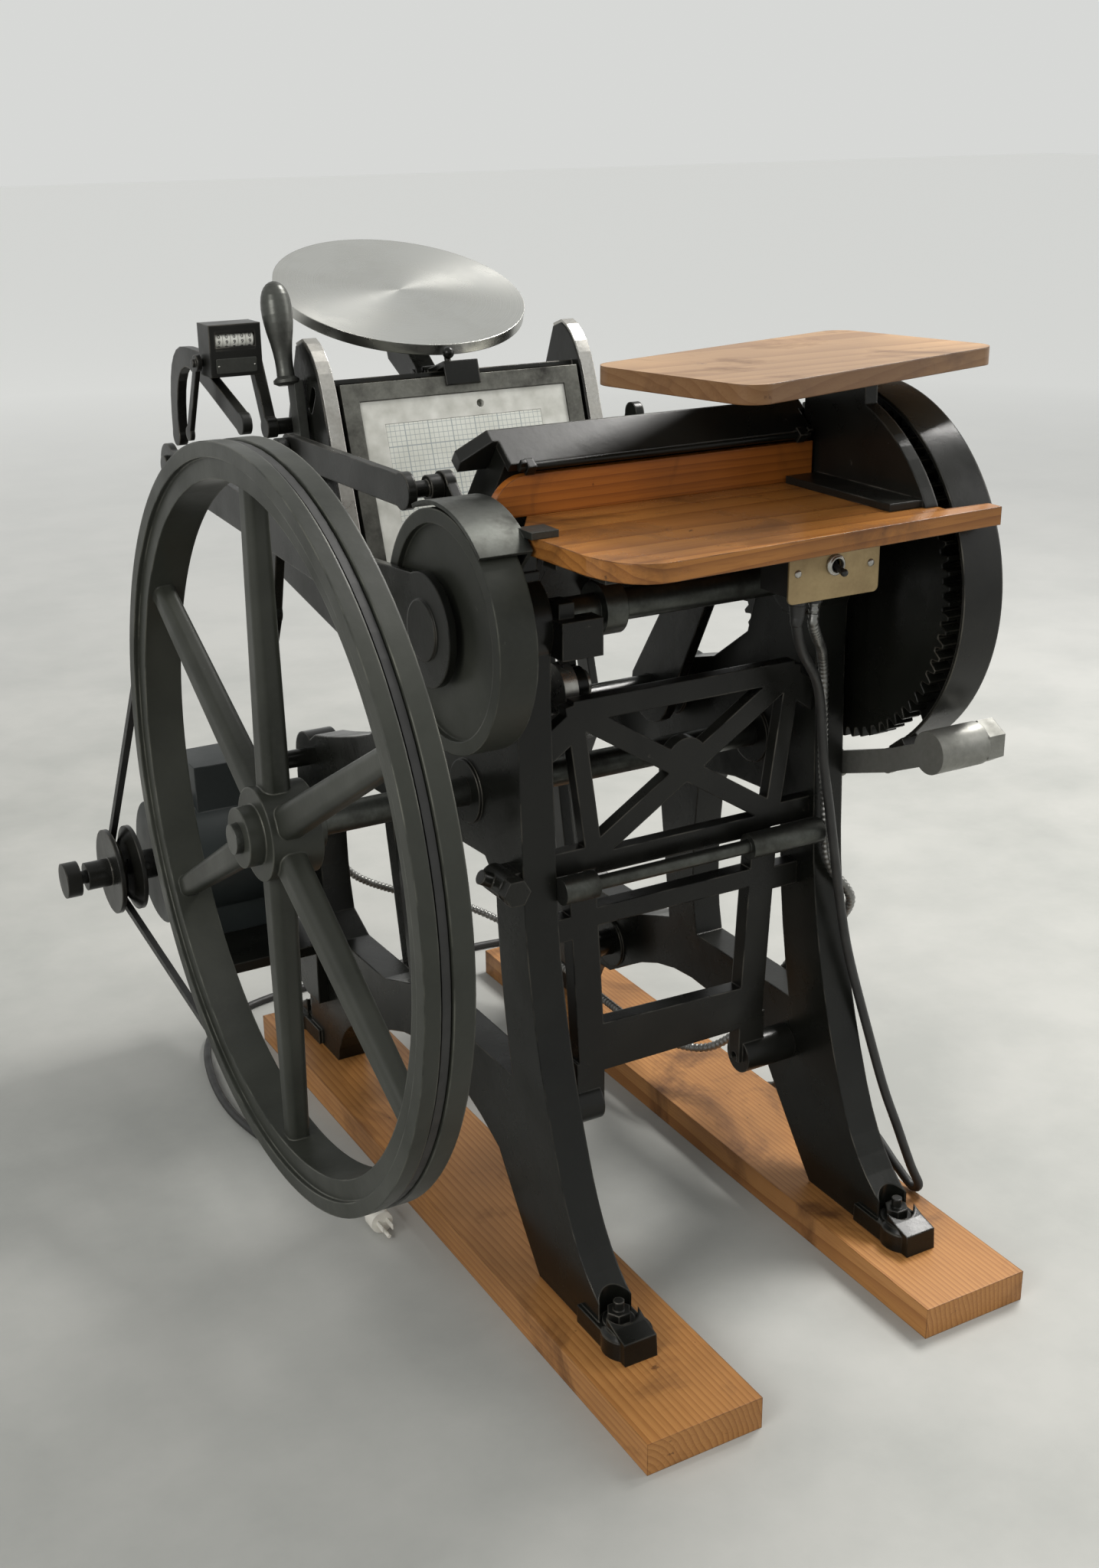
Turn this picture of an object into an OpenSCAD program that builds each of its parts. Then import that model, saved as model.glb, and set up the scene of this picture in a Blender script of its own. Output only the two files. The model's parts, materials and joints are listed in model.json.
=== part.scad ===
// Platen printing press with a flywheel, a motor drive and wooden feed boards.
// Working axes: X to the operator's right from the press centre, Y from the operator
// towards the back, Z up from the floor. The whole press is then moved so that its
// origin is under the middle of its box.

/* [Stand] */
// Height of the wooden runners
runner_h = 38; // [30:1:60]
// Width of a runner
runner_w = 140; // [110:1:150]
// Length of a runner
runner_len = 1045; // [1020:5:1150]
// Side shift of the runners from the frames they carry
runner_shift = 7; // [0:1:12]
// Distance between the middles of the side frames
frame_pitch = 380; // [376:1:384]
// Thickness of a side frame
frame_t = 40; // [34:1:42]
// Radius of the main bearing bosses
main_boss_r = 52; // [44:1:56]
// Radius of the other bearing bosses
boss_r = 40; // [34:1:44]
// Diameter of the foot bolts
foot_bolt_d = 12; // [8:1:14]
// Height of the foot pads over the runners
foot_pad_h = 22; // [16:1:26]

/* [Shafts] */
// Radius of the main shaft
main_shaft_r = 17; // [14:0.5:20]
// Radius of the drive shaft
drive_shaft_r = 16; // [12:0.5:19]
// Radius of the platen's pivot trunnions
rocker_r = 20; // [15:0.5:24]
// Radius of the bed's pivot trunnions
bed_pivot_r = 18; // [14:0.5:22]
// Radius of the roller frame's cross shaft
swing_shaft_r = 12; // [9:0.5:16]
// Running clearance of a shaft in its bore
run_fit = 0.05; // [0.02:0.01:0.09]

/* [Drive] */
// Radius of the flywheel
fly_r = 402; // [360:1:410]
// Width of the flywheel rim
fly_w = 50; // [40:1:56]
// Depth of the flywheel rim
fly_rim = 38; // [30:1:50]
// Radius of the flywheel hub
fly_hub_r = 50; // [40:1:60]
// Width of the belt groove
groove_w = 13; // [11:0.5:15]
// Depth of the belt groove
groove_d = 12; // [9:0.5:14]
// Gear module
gear_m = 5; // [4.9:0.05:5.1]
// Teeth on the main gear
gear_teeth = 75; // [74:1:76]
// Teeth on the drive pinion
pinion_teeth = 12; // [11:1:12]
// Face width of the gears
gear_w = 24; // [18:1:26]
// Radius of the crank disc
disc_r = 126; // [118:1:130]
// Width of the crank disc
disc_w = 42; // [34:1:44]
// Width of the ring round the crank disc
disc_rim = 15; // [12:1:26]
// Depth of the hollow in the crank disc
disc_hollow = 7; // [5:0.5:12]
// Crank throw that moves the bed
crank_r = 19.7; // [16:0.1:21]
// Outer radius of the gear guard
guard_r = 213; // [209:1:220]
// Wall of the sheet guards
guard_t = 4; // [2:0.5:6]

/* [Motor] */
// Radius of the motor body
motor_r = 85; // [70:1:95]
// Length of the motor body
motor_len = 190; // [150:1:200]
// Radius of the motor sheaves
sheave_r = 58; // [50:1:64]
// Radius of the sheave spring barrel
barrel_r = 24; // [18:1:28]
// Width of the drive belt
belt_w = 12; // [9:0.5:13]

/* [Impression] */
// Width of the platen
platen_w = 374; // [350:1:380]
// Height of the platen
platen_h = 266; // [240:1:280]
// Thickness of the platen
platen_t = 40; // [30:1:46]
// Tilt of the open platen from upright
platen_tilt = 38; // [36:0.5:40]
// Lean of the open bed from upright
bed_lean = 18; // [16:0.5:20]
// Width of the bed between its ears
bed_w = 344; // [330:1:350]
// Thickness of the bed plate
bed_t = 26; // [20:1:32]
// Thickness of the bed's ears
ear_t = 20; // [14:1:20]
// Thickness of the draw bars
bar_t = 14; // [10:1:14]
// Thickness of the outer, left draw bar
outer_bar_t = 9; // [7:0.5:12]
// Radius of the draw bars' big ends
big_end_r = 53; // [46:1:58]
// Radius of the outer draw bar's big end
outer_end_r = 60; // [54:1:64]

/* [Lock-up] */
// Outer width of the chase
chase_w = 332; // [300:1:336]
// Outer height of the chase
chase_h = 242; // [220:1:250]
// Thickness of the chase
chase_t = 20; // [16:1:22]
// Width of the chase's bars
chase_bar = 22; // [16:1:28]

/* [Ink disk] */
// Radius of the ink disk
disk_r = 166; // [150:1:172]
// Thickness of the ink disk
disk_t = 14; // [10:1:18]
// Tilt of the ink disk
disk_tilt = 19; // [15:0.5:23]

/* [Boards] */
// Thickness of the boards
board_t = 19; // [15:1:21]
// Height of the delivery board's top
deliver_z = 892; // [889:1:894]
// Height of the delivery board's back lip
lip_h = 42; // [30:1:43]
// Length of the feed board
feed_l = 402; // [360:1:420]
// Depth of the feed board
feed_d = 218; // [200:1:230]
// Turn of the feed board seen from above
feed_turn = 14; // [0:0.5:18]

/* [Switch] */
// Width of the switch plate
plate_w = 114; // [100:1:120]
// Height of the switch plate
plate_h = 62; // [55:1:64]
// Diameter of the supply cord
cord_d = 11; // [9:0.5:12]
// Diameter of the metal conduit
flex_d = 12; // [10:0.5:13]

/* [Counter] */
// Width of the counter box
box_w = 66; // [60:1:70]
// Height of the counter box
box_h = 62; // [55:1:70]
// Depth of the counter box
box_d = 40; // [34:1:46]
// Number of counter wheels
wheel_count = 5; // [5:1:5]
// Radius of a counter wheel
wheel_r = 11; // [9:0.5:12]

/* [Hidden] */
$fn = 48;

// Pivot places as [y, z]
main_at = [365.5, 784.5];
centres = gear_m * (gear_teeth + pinion_teeth) / 2 + 0.35;
drive_dir = [72.5, -205.1] / norm([72.5, -205.1]);
drive_at = main_at + centres * drive_dir;
bed_at = [760, 170];
swing_at = [916, 471];
motor_at = [1045, 310];

// Side frame planes
frame_x = frame_pitch / 2;
frame_in = frame_x - frame_t / 2;
frame_out = frame_x + frame_t / 2;
boss_out = frame_out + 4;

// Open platen and open bed
platen_top = [410, 969];
platen_mid = platen_top + platen_h / 2 * [sin(platen_tilt), -cos(platen_tilt)];
bed_mid = [822, 843];
type_h = 23.3;
packing = 1.5;
// Swing of the bed that two crank throws give along the draw bar
stud_at = [1175, 825];
crank_at = main_at + [crank_r, 0];
bar_dir = (crank_at - stud_at) / norm(crank_at - stud_at);
stud_lever = abs((stud_at - bed_at)[0] * bar_dir[1] - (stud_at - bed_at)[1] * bar_dir[0]);
bed_swing = 2 * crank_r / stud_lever * 180 / PI;
function turn(p, c, a) = c + [(p - c)[0] * cos(a) - (p - c)[1] * sin(a), (p - c)[0] * sin(a) + (p - c)[1] * cos(a)];
bed_shut = turn(bed_mid, bed_at, bed_swing);
lean_shut = bed_lean - bed_swing;
platen_shut = bed_shut + (type_h + packing) * [-cos(lean_shut), sin(lean_shut)];
platen_swing = platen_tilt + lean_shut;
shut_step = platen_shut - platen_mid;
// The platen turns about the point from which both places are equally far
rocker_at = (platen_mid + platen_shut) / 2
    + [shut_step[1], -shut_step[0]] / (2 * tan(platen_swing / 2));

// Link and roller frame
link_front = [490, 905];
link_len = 316;
link_back = link_front + [link_len, -4];

// Flywheel planes
fly_x0 = -458;
fly_x1 = fly_x0 + fly_w;
groove_x = fly_x0 + 22.5;
disc_x0 = -271;
disc_x1 = disc_x0 + disc_w;
gear_x0 = 226;
gear_x1 = gear_x0 + gear_w;
bar_gap = 4;
left_bar_x1 = disc_x0 - 2;
left_bar_x0 = left_bar_x1 - outer_bar_t;
right_bar_x0 = gear_x1 + bar_gap;
right_bar_x1 = right_bar_x0 + bar_t;
gear_web = 12;
arm_t = 12;
left_arm_x0 = -266;
link_x0 = -252;
link_t = 10;
link_gap = 0.5;
lever_x0 = -207;
lever_t = 12;
counter_arm_x0 = -235;

// Guard planes
guard_x0 = gear_x0 + 2;
guard_x1 = right_bar_x1 + 12;

// Extents that set the origin
feed_at = [133, 322, 1035];
feed_round = 26;
feed_tip = feed_at[0] + (feed_l / 2 - feed_round) * cos(feed_turn) + (feed_d / 2 - feed_round) * sin(feed_turn) + feed_round;
barrel_x0 = -516;
runner_left_y = -5;
runner_right_y = 20;
bar_eye_r = 30;
rear_y = stud_at[0] + bar_eye_r;
box_x = (barrel_x0 + feed_tip) / 2;
box_y = (runner_left_y + rear_y) / 2;

module place() translate([-box_x, -box_y, 0]) children();

// Drawing helpers
module x_bar(x0, x1, at, r, n = 48) translate([x0, at[0], at[1]]) rotate([0, 90, 0]) cylinder(h = x1 - x0, r = r, $fn = n);
module x_plate(x0, x1) translate([x0, 0, 0]) rotate([90, 0, 90]) linear_extrude(x1 - x0) children();
module y_plate(y0, y1) translate([0, y1, 0]) rotate([90, 0, 0]) linear_extrude(y1 - y0) children();
module box(lo, hi) translate(lo) cube(hi - lo);
module disc_at(at, r) translate(at) circle(r);
module both() { children(); mirror([1, 0, 0]) children(); }
function bez(a, b, c, n) = [for (i = [0:n]) let (t = i / n) (1 - t) * (1 - t) * a + 2 * t * (1 - t) * b + t * t * c];
function arc(c, r, a0, a1, n) = [for (i = [0:n]) c + r * [cos(a0 + (a1 - a0) * i / n), sin(a0 + (a1 - a0) * i / n)]];
module round_box(w, h, r) {
    square([w - 2 * r, h], center = true);
    square([w, h - 2 * r], center = true);
    for (x = [-1, 1], y = [-1, 1]) translate([x * (w / 2 - r), y * (h / 2 - r)]) circle(r, $fn = 32);
}
// A flat bar between two points of the side view
module strut(a, b, w) {
    d = b - a;
    translate(a) rotate(atan2(d[1], d[0])) translate([0, -w / 2]) square([norm(d), w]);
}
module eye_bar(a, b, w, ra, rb) {
    strut(a, b, w);
    disc_at(a, ra);
    disc_at(b, rb);
}

// Tube swept along a smooth curve through hand-chosen points
function curve_point(p, i, t) =
    let (a = p[max(i - 1, 0)], b = p[i], c = p[i + 1], d = p[min(i + 2, len(p) - 1)])
    0.5 * (2 * b + (c - a) * t + (2 * a - 5 * b + 4 * c - d) * t * t + (3 * b - a - 3 * c + d) * t * t * t);
function smooth(p, k) = concat([for (i = [0:len(p) - 2], j = [0:k - 1]) curve_point(p, i, j / k)], [p[len(p) - 1]]);
function unit(v) = v / norm(v);
function side_of(w, t) = unit(w - (w * t) * t);
function tangent(p, i) = unit(p[min(i + 1, len(p) - 1)] - p[max(i - 1, 0)]);
function sides(p) = [for (i = 0, s = side_of([1, 0.2, 0.1], tangent(p, 0)); i < len(p);
    i = i + 1, s = i < len(p) ? side_of(s, tangent(p, i)) : s) s];
module tube(p, d, n) {
    s = sides(p);
    rings = [for (i = [0:len(p) - 1]) let (t = tangent(p, i), u = s[i], v = cross(t, u))
        for (j = [0:n - 1]) p[i] + d / 2 * (cos(360 * j / n) * u + sin(360 * j / n) * v)];
    last = (len(p) - 1) * n;
    walls = [for (i = [0:len(p) - 2], j = [0:n - 1])
        let (a = i * n + j, b = i * n + (j + 1) % n) each [[a, a + n, b], [b, a + n, b + n]]];
    caps = [for (j = [1:n - 2]) each [[0, j, j + 1], [last, last + j + 1, last + j]]];
    polyhedron(rings, concat(walls, caps));
}

// Stand
module runner(x, y) color([0.68, 0.53, 0.36]) place() difference() {
    translate([x, y + runner_len / 2, runner_h / 2]) cube([runner_w, runner_len, runner_h], center = true);
    foot_holes();
}
module runner_left() runner(-frame_x + runner_shift, runner_left_y);
module runner_right() runner(frame_x + runner_shift, runner_right_y);

foot_y = [152, 962];
module foot_holes() for (x = [-frame_x, frame_x], y = foot_y)
    translate([x, y, 8]) cylinder(h = runner_h + foot_pad_h, d = foot_bolt_d + 0.4, $fn = 32);

front_edge = concat(bez([108, runner_h + 26], [196, 78], [240, 190], 8),
    bez([240, 190], [304, 350], [312, 493], 8), [[321, 703], [320, 784]]);
top_edge = [[365, main_at[1] + 30], [420, 810], [452, 700], [520, 652]];
rear_edge = concat([[rocker_at[0], rocker_at[1] + boss_r - 4], [700, 566]],
    bez([700, 566], [800, 530], [880, 512], 4), [[945, 470]],
    bez([950, 440], [944, 240], [930, 150], 6), bez([930, 150], [950, 84], [1008, runner_h + 26], 5));
arch_edge = concat([[1010, runner_h], [862, runner_h]], bez([862, runner_h], [846, 96], [800, 122], 5),
    [[760, 124], [716, 150]], bez([716, 150], [560, 250], [383, 157], 8),
    bez([383, 157], [338, 96], [290, runner_h], 5), [[106, runner_h]]);
window_front = concat(bez([346, 268], [372, 380], [376, 492], 5), [[400, 516], [470, 512], [532, 500]],
    bez([548, 470], [566, 340], [545, 268], 5));
window_rear = concat([[610, 268], [640, 470]], bez([650, 500], [760, 500], [862, 440], 5),
    [[884, 400]], bez([884, 400], [890, 320], [872, 258], 4), [[826, 236], [690, 240]]);

module frame_profile() {
    difference() {
        union() {
            polygon(concat(front_edge, top_edge, rear_edge, arch_edge));
            disc_at(main_at, main_boss_r);
            disc_at(rocker_at, boss_r);
            disc_at(bed_at, boss_r);
            disc_at(swing_at, boss_r - 6);
            translate([main_at[0] - 24, main_at[1]]) square([48, main_boss_r + 4]);
        }
        polygon(window_front);
        polygon(window_rear);
    }
}
// Foot pad with a round toe; d is +1 for a front foot and -1 for a rear one
module foot_toe(y, d) translate([frame_x, y, runner_h]) {
    translate([0, d * 28, 0]) cylinder(h = foot_pad_h, r = 28);
    translate([0, d * 28, foot_pad_h - 1]) cylinder(h = 6, r1 = 27, r2 = 23);
    box([-25, min(d * 28, d * 90), 0], [25, max(d * 28, d * 90), foot_pad_h]);
}
module frame_half() difference() {
    union() {
        x_plate(frame_in, frame_out) frame_profile();
        x_bar(frame_in - 4, boss_out, main_at, main_boss_r - 8);
        x_bar(frame_in - 4, boss_out, drive_at, boss_r - 4);
        x_bar(frame_in - 4, frame_out, rocker_at, boss_r - 4);
        x_bar(frame_in - 4, frame_out, bed_at, boss_r - 4);
        x_bar(frame_in - 4, frame_out, swing_at, boss_r - 12);
        foot_toe(108, 1);
        foot_toe(1008, -1);
    }
    x_bar(0, 300, main_at, main_shaft_r + run_fit);
    x_bar(0, 300, drive_at, drive_shaft_r + run_fit);
    x_bar(0, 300, rocker_at, rocker_r + run_fit);
    x_bar(0, 300, bed_at, bed_pivot_r + run_fit);
    x_bar(0, 300, swing_at, swing_shaft_r + run_fit);
    foot_holes();
    for (y = foot_y) translate([frame_x, y, runner_h + foot_pad_h]) cylinder(h = 60, r = 21);
}
module side_frame_right() color([0.22, 0.23, 0.2]) place() frame_half();
module side_frame_left() color([0.22, 0.23, 0.2]) place() mirror([1, 0, 0]) frame_half();

// Front brace: an X inside a frame that narrows downwards, on four lugs
brace_y0 = 322;
brace_t = 16;
brace_lug_z = 652;
brace_top = 702;
brace_low = 514;
brace_bar = 24;
module brace_profile() {
    half_t = 142;
    half_b = 116;
    mid = [0, 611];
    for (s = [-1, 1]) {
        strut([s * half_t, brace_top - 12], [-s * half_b, brace_low + 12], brace_bar);
        strut([s * half_t, brace_top - 4], [s * half_b, brace_low], brace_bar - 4);
        strut([s * (half_t - 10), brace_top - 20], [s * (frame_in + 6), brace_lug_z], 30);
        strut([s * (half_b - 6), brace_low + 8], [s * (frame_in + 6), brace_low + 8], 27);
    }
    strut([-half_t, brace_top - 12], [half_t, brace_top - 12], brace_bar);
    strut([-half_b, brace_low], [half_b, brace_low], brace_bar);
    disc_at(mid, 26);
}
module front_brace() color([0.25, 0.26, 0.22]) place() y_plate(brace_y0, brace_y0 + brace_t) intersection() {
    brace_profile();
    square([2 * frame_in, 3000], center = true);
}

// Cross brace: a window between two posts that spread upwards
cross_y0 = 340;
module cross_brace() color([0.23, 0.24, 0.21]) place() difference() {
    union() {
        y_plate(cross_y0, cross_y0 + 20) {
            for (s = [-1, 1]) polygon([[s * 92, 246], [s * 126, 246], [s * 138, 470], [s * 104, 470]]);
            polygon([[-96, 246], [96, 246], [96, 300], [-96, 306]]);
            polygon([[-108, 430], [108, 430], [108, 452], [-108, 452]]);
        }
        for (s = [-1, 1]) {
            x_bar(s > 0 ? 100 : -frame_in, s > 0 ? frame_in : -100, [cross_y0 + 10, 205], 22);
            box([s * 112 - 18, cross_y0, 200], [s * 112 + 18, cross_y0 + 20, 262]);
            box([min(s * 128, s * frame_in), cross_y0, 420], [max(s * 128, s * frame_in), cross_y0 + 20, 448]);
        }
    }
    x_bar(-frame_in - 1, frame_in + 1, [cross_y0 + 10, 205], 6);
}

stay_at = [304, 500];
module stay_rod() color([0.4, 0.41, 0.38]) place() {
    x_bar(-128, 72, stay_at, 8);
    x_bar(-frame_in, -128, stay_at, 15);
    x_bar(72, frame_in, stay_at, 15);
    for (s = [-1, 1]) translate([s * (frame_in - 22), 0, 0])
        box([-8, stay_at[0], stay_at[1] - 9], [8, brace_y0, stay_at[1] + 4]);
}

module hex_head(d, h) cylinder(h = h, d = d * 2 / sqrt(3), $fn = 6);
module foot_bolts() color([0.35, 0.33, 0.3]) place() for (x = [-frame_x, frame_x], y = foot_y)
    translate([x, y, 0]) {
        top = runner_h + foot_pad_h;
        translate([0, 0, 10]) cylinder(h = top + 16, d = foot_bolt_d, $fn = 32);
        translate([0, 0, top]) cylinder(h = 3, r = 18);
        translate([0, 0, top + 3]) hex_head(24, 12);
    }

module bearing_bolt() color([0.3, 0.29, 0.26]) place() {
    translate([-frame_out - 16, 352, 513]) rotate([90, 0, 0]) cylinder(h = 42, r = 15);
    translate([-frame_out - 16, 310, 513]) rotate([90, 0, 0]) hex_head(28, 14);
    translate([-frame_out - 20, 332, 513]) rotate([0, -60, 0]) cylinder(h = 24, r = 8, $fn = 32);
    box([-frame_out - 8, 318, 500], [-frame_out, 350, 526]);
}

// Boards
deliver_outline = concat([[264, 147], [264, 167], [208, 169], [206, 392], [-150, 398], [-212, 300]],
    bez([-206, 188], [-196, 122], [-146, 126], 6));
module delivery_board() color([0.78, 0.6, 0.38]) place() translate([0, 0, deliver_z - board_t])
    linear_extrude(board_t) polygon(deliver_outline);
lip_y = 366;
lip_t = 12;
lip_x0 = -168;
lip_x1 = 188;
module board_lip() color([0.74, 0.56, 0.34]) place() y_plate(lip_y, lip_y + lip_t) {
    translate([lip_x0, deliver_z]) square([lip_x1 - lip_x0, lip_h]);
    intersection() {
        translate([lip_x0, deliver_z]) circle(lip_h);
        translate([lip_x0 - lip_h, deliver_z]) square([lip_h, lip_h]);
    }
}
support_z = deliver_z - board_t;
module board_support() color([0.2, 0.2, 0.18]) place() {
    for (s = [-1, 1]) {
        x = s * (frame_x - 6);
        box([x - 12, main_at[0] - 22, main_at[1] + main_boss_r + 4], [x + 12, main_at[0] + 22, support_z - 6]);
        box([x - 12, 170, support_z - 6], [x + 12, main_at[0] + 22, support_z]);
    }
    box([-frame_x - 6, 262, support_z - 12], [frame_x + 6, 288, support_z - 6]);
    box([-frame_in, 296, 756], [-frame_in + 48, 320, 796]);
    box([-frame_in + 4.2, 310, 770], [-frame_in + 22, 338, 812]);
}

post_x0 = 192;
post_x1 = frame_out - 2;
feed_under = feed_at[2] - board_t;
module feed_post() color([0.2, 0.2, 0.18]) place() {
    x_plate(post_x0, post_x1) polygon(concat([[388, deliver_z]], [[388, feed_under]], [[286, feed_under]],
        arc(main_at, guard_r + 2, 112, 149, 8), [[180, deliver_z]]));
    box([150, 186, deliver_z], [post_x1, lip_y - 4, deliver_z + 8]);
    box([110, 262, feed_under - 8], [post_x1, 388, feed_under]);
}
module feed_board() color([0.8, 0.63, 0.42]) place() translate([feed_at[0], feed_at[1], feed_under])
    rotate(feed_turn) linear_extrude(board_t) round_box(feed_l, feed_d, feed_round);

// Guards
module guard_ring(x0, x1, r, a0, a1) x_plate(x0, x1) intersection() {
    difference() {
        disc_at(main_at, r);
        disc_at(main_at, r - guard_t);
    }
    polygon(concat([main_at], arc(main_at, 2 * r, a0, a1, 8)));
}
module gear_guard() color([0.3, 0.31, 0.29]) place() {
    guard_ring(guard_x0, guard_x1, guard_r, 82, 236);
    x_plate(guard_x1 - guard_t, guard_x1) intersection() {
        difference() {
            disc_at(main_at, guard_r - guard_t / 2);
            disc_at(main_at, 150);
        }
        polygon(concat([main_at], arc(main_at, 2 * guard_r, 82, 236, 8)));
    }
    // tab that stands on the strap from the side frame
    x_plate(strap_x1, guard_x0 + 12) strut(main_at + (guard_r - guard_t / 2) * tab_dir, main_at + (guard_r + 24) * tab_dir, 26);
}
strap_x1 = frame_out + 8;
tab_dir = [cos(232), sin(232)];
stay_y = 172;
stay_z = 626;
module guard_stay() color([0.45, 0.46, 0.44]) place() {
    x_plate(frame_out, strap_x1) eye_bar([330, 566], [240, 596], 26, 17, 14);
    x_plate(frame_out, strap_x1) eye_bar([240, 596], [stay_y, stay_z], 26, 14, 23);
    x_bar(frame_out, frame_out + 66, [stay_y, stay_z], 24);
    translate([frame_out + 66, stay_y, stay_z]) rotate([0, 90, 0]) hex_head(44, 22);
}
cap_r = disc_r + 8;
cap_x0 = disc_x0 - 2;
module disc_guard() color([0.4, 0.41, 0.38]) place() difference() {
    disc_guard_body();
    x_bar(-300, -200, main_at, main_shaft_r + 6);
}
module disc_guard_body() {
    guard_ring(cap_x0, -boss_out - 1, cap_r, 66, 134);
    x_plate(-boss_out - 6, -boss_out - 1) intersection() {
        disc_at(main_at, cap_r);
        polygon(concat([main_at], arc(main_at, 2 * cap_r, 66, 134, 8)));
    }
    // clamp over the end of the delivery board
    box([-boss_out - 4, 270, deliver_z], [-188, 300, deliver_z + 7]);
    x_bar(-boss_out - 2, -boss_out, main_at, main_boss_r - 12);
}

// Switch
switch_y = 195;
switch_x = 90;
switch_z = support_z - 2 - plate_h / 2;
module switch_box() color([0.16, 0.17, 0.17]) place() difference() {
    union() {
        box([switch_x - plate_w / 2 + 3, switch_y + 2.5, switch_z - plate_h / 2 + 6],
            [switch_x + plate_w / 2 - 5, switch_y + 52, support_z]);
        for (x = [cord_exit[0], flex_exit[0]]) translate([x, cord_exit[1], switch_z - plate_h / 2 - 10])
            cylinder(h = 20, r = 9, $fn = 32);
    }
    box([switch_x - plate_w / 2 + 8, switch_y + 1, switch_z - plate_h / 2 + 11],
        [switch_x + plate_w / 2 - 10, switch_y + 47, support_z - 5]);
}
module switch_plate() color([0.62, 0.52, 0.34]) place() difference() {
    translate([switch_x, switch_y + 2.5, switch_z]) rotate([90, 0, 0]) linear_extrude(2.5) round_box(plate_w, plate_h, 6);
    translate([switch_x, switch_y + 4, switch_z + 4]) rotate([90, 0, 0]) cylinder(h = 8, r = 7);
}
module switch_toggle() color([0.12, 0.11, 0.1]) place() translate([switch_x, switch_y + 6, switch_z + 4]) {
    rotate([0, 90, 0]) translate([0, 0, -5]) cylinder(h = 10, r = 4);
    rotate([90 + 14, 0, 0]) cylinder(h = 22, r = 3.4, $fn = 32);
    rotate([90 + 14, 0, 0]) translate([0, 0, 22]) sphere(4, $fn = 32);
}

// Supply cord: out of the gland, down in front of the right frame, back beside the right
// runner on the floor, round behind the press and forward on the left to its plug
cord_exit = [67, 224, 0];
flex_exit = [88, 224, 0];
gland_z = switch_z - plate_h / 2 - 10;
floor_z = cord_d / 2 + 0.4;
plug_z = 14.2;
cord_route = [[67, 224, gland_z], [67, 224, gland_z - 12], [67, 224, gland_z - 24], [84, 236, 744], [135, 270, 684],
    [158, 283, 587], [168, 283, 535], [176, 281, 483], [190, 281, 408], [201, 274, 342], [220, 253, 244],
    [233, 236, 177], [244, 221, 130], [256, 206, 80], [264, 198, 54], [265, 212, 45], [261, 240, 62], [257, 275, 86],
    [254, 312, 98], [250, 352, 96], [252, 400, 76], [262, 450, 50], [275, 490, 42], [283, 526, 20],
    [283, 566, floor_z], [280, 700, floor_z], [281, 850, floor_z], [284, 1000, floor_z], [273, 1092, floor_z],
    [205, 1136, floor_z], [110, 1148, floor_z], [0, 1152, floor_z], [-200, 1148, floor_z], [-300, 1100, floor_z],
    [-350, 1010, floor_z], [-370, 860, floor_z], [-340, 700, floor_z], [-308, 596, 9], [-307, 574, plug_z],
    [-307, 546, plug_z]];
module power_cord() color([0.08, 0.08, 0.08]) place() tube(smooth(cord_route, 2), cord_d, 8);
module power_plug() color([0.85, 0.84, 0.8]) place() translate([-307, 546, plug_z]) rotate([90, 0, 0]) {
    cylinder(h = 18, r1 = 9, r2 = 13.5);
    translate([0, 0, 18]) cylinder(h = 20, r = 14);
    for (x = [-6.35, 6.35]) translate([x - 0.8, -2, 38]) cube([1.6, 6.4, 17]);
    translate([0, -8, 38]) cylinder(h = 20, r = 2.4, $fn = 32);
}
// Metal conduit: from the switch down the front of the frame, back along the right frame's
// outer face, in under its arch and along the inside to the motor
conduit_route = [[88, 224, gland_z], [88, 224, gland_z - 12], [88, 224, gland_z - 24], [112, 246, 750], [146, 282, 724],
    [166, 302, 690], [171, 305, 640], [173, 305, 590], [177, 303, 545], [178, 301, 505], [181, 299, 468], [190, 297, 445],
    [206, 296, 425], [218, 298, 405], [222, 312, 380], [223, 345, 345], [223, 392, 300], [222, 430, 250],
    [220, 468, 190], [214, 504, 136], [190, 536, 102], [165, 574, 94],
    [150, 640, 92], [150, 780, 90], [146, 900, 96], [120, 980, 120], [60, 1030, 150], [-20, 1046, 180],
    [-90, 1046, 220], [-130, 1045, 268], [-160, 1045, 300], [-186, 1045, 310]];
module metal_conduit() color([0.6, 0.61, 0.6]) place() {
    tube(smooth(conduit_route, 2), flex_d, 8);
    x_bar(motor_x1, motor_x1 + 14, motor_at, 11);
    box([frame_in + 2, 298, 462], [frame_x + 10, 309.5, 474]);
}

// Motor
motor_x0 = -388;
motor_x1 = motor_x0 + motor_len;
module motor() color([0.2, 0.24, 0.24]) place() {
    difference() {
        union() {
            x_bar(motor_x0, motor_x1, motor_at, motor_r);
            box([motor_x0 + 52, motor_at[0] - 40, motor_at[1] + 60], [motor_x0 + 138, motor_at[0] + 40, motor_at[1] + 140]);
            box([motor_x0 + 30, motor_at[0] - 60, motor_at[1] - motor_r - 16], [motor_x1 - 20, motor_at[0] + 60, motor_at[1] - 60]);
        }
        x_bar(motor_x0 - 1, motor_x0 + 60, motor_at, 9 + run_fit);
    }
}
module motor_bracket() color([0.22, 0.23, 0.2]) place() {
    z1 = motor_at[1] - motor_r - 16;
    box([motor_x0 + 24, 886, z1 - 14], [-frame_out, 1124, z1]);
    box([-frame_out - 14, 886, z1 - 90], [-frame_out, 932, z1 - 14]);
    x_plate(-frame_out - 14, -frame_out) polygon([[932, z1 - 90], [932, z1 - 14], [1090, z1 - 14]]);
}
module motor_spin_shaft() x_bar(-500, motor_x0 + 55, motor_at, 9, 32);
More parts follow.
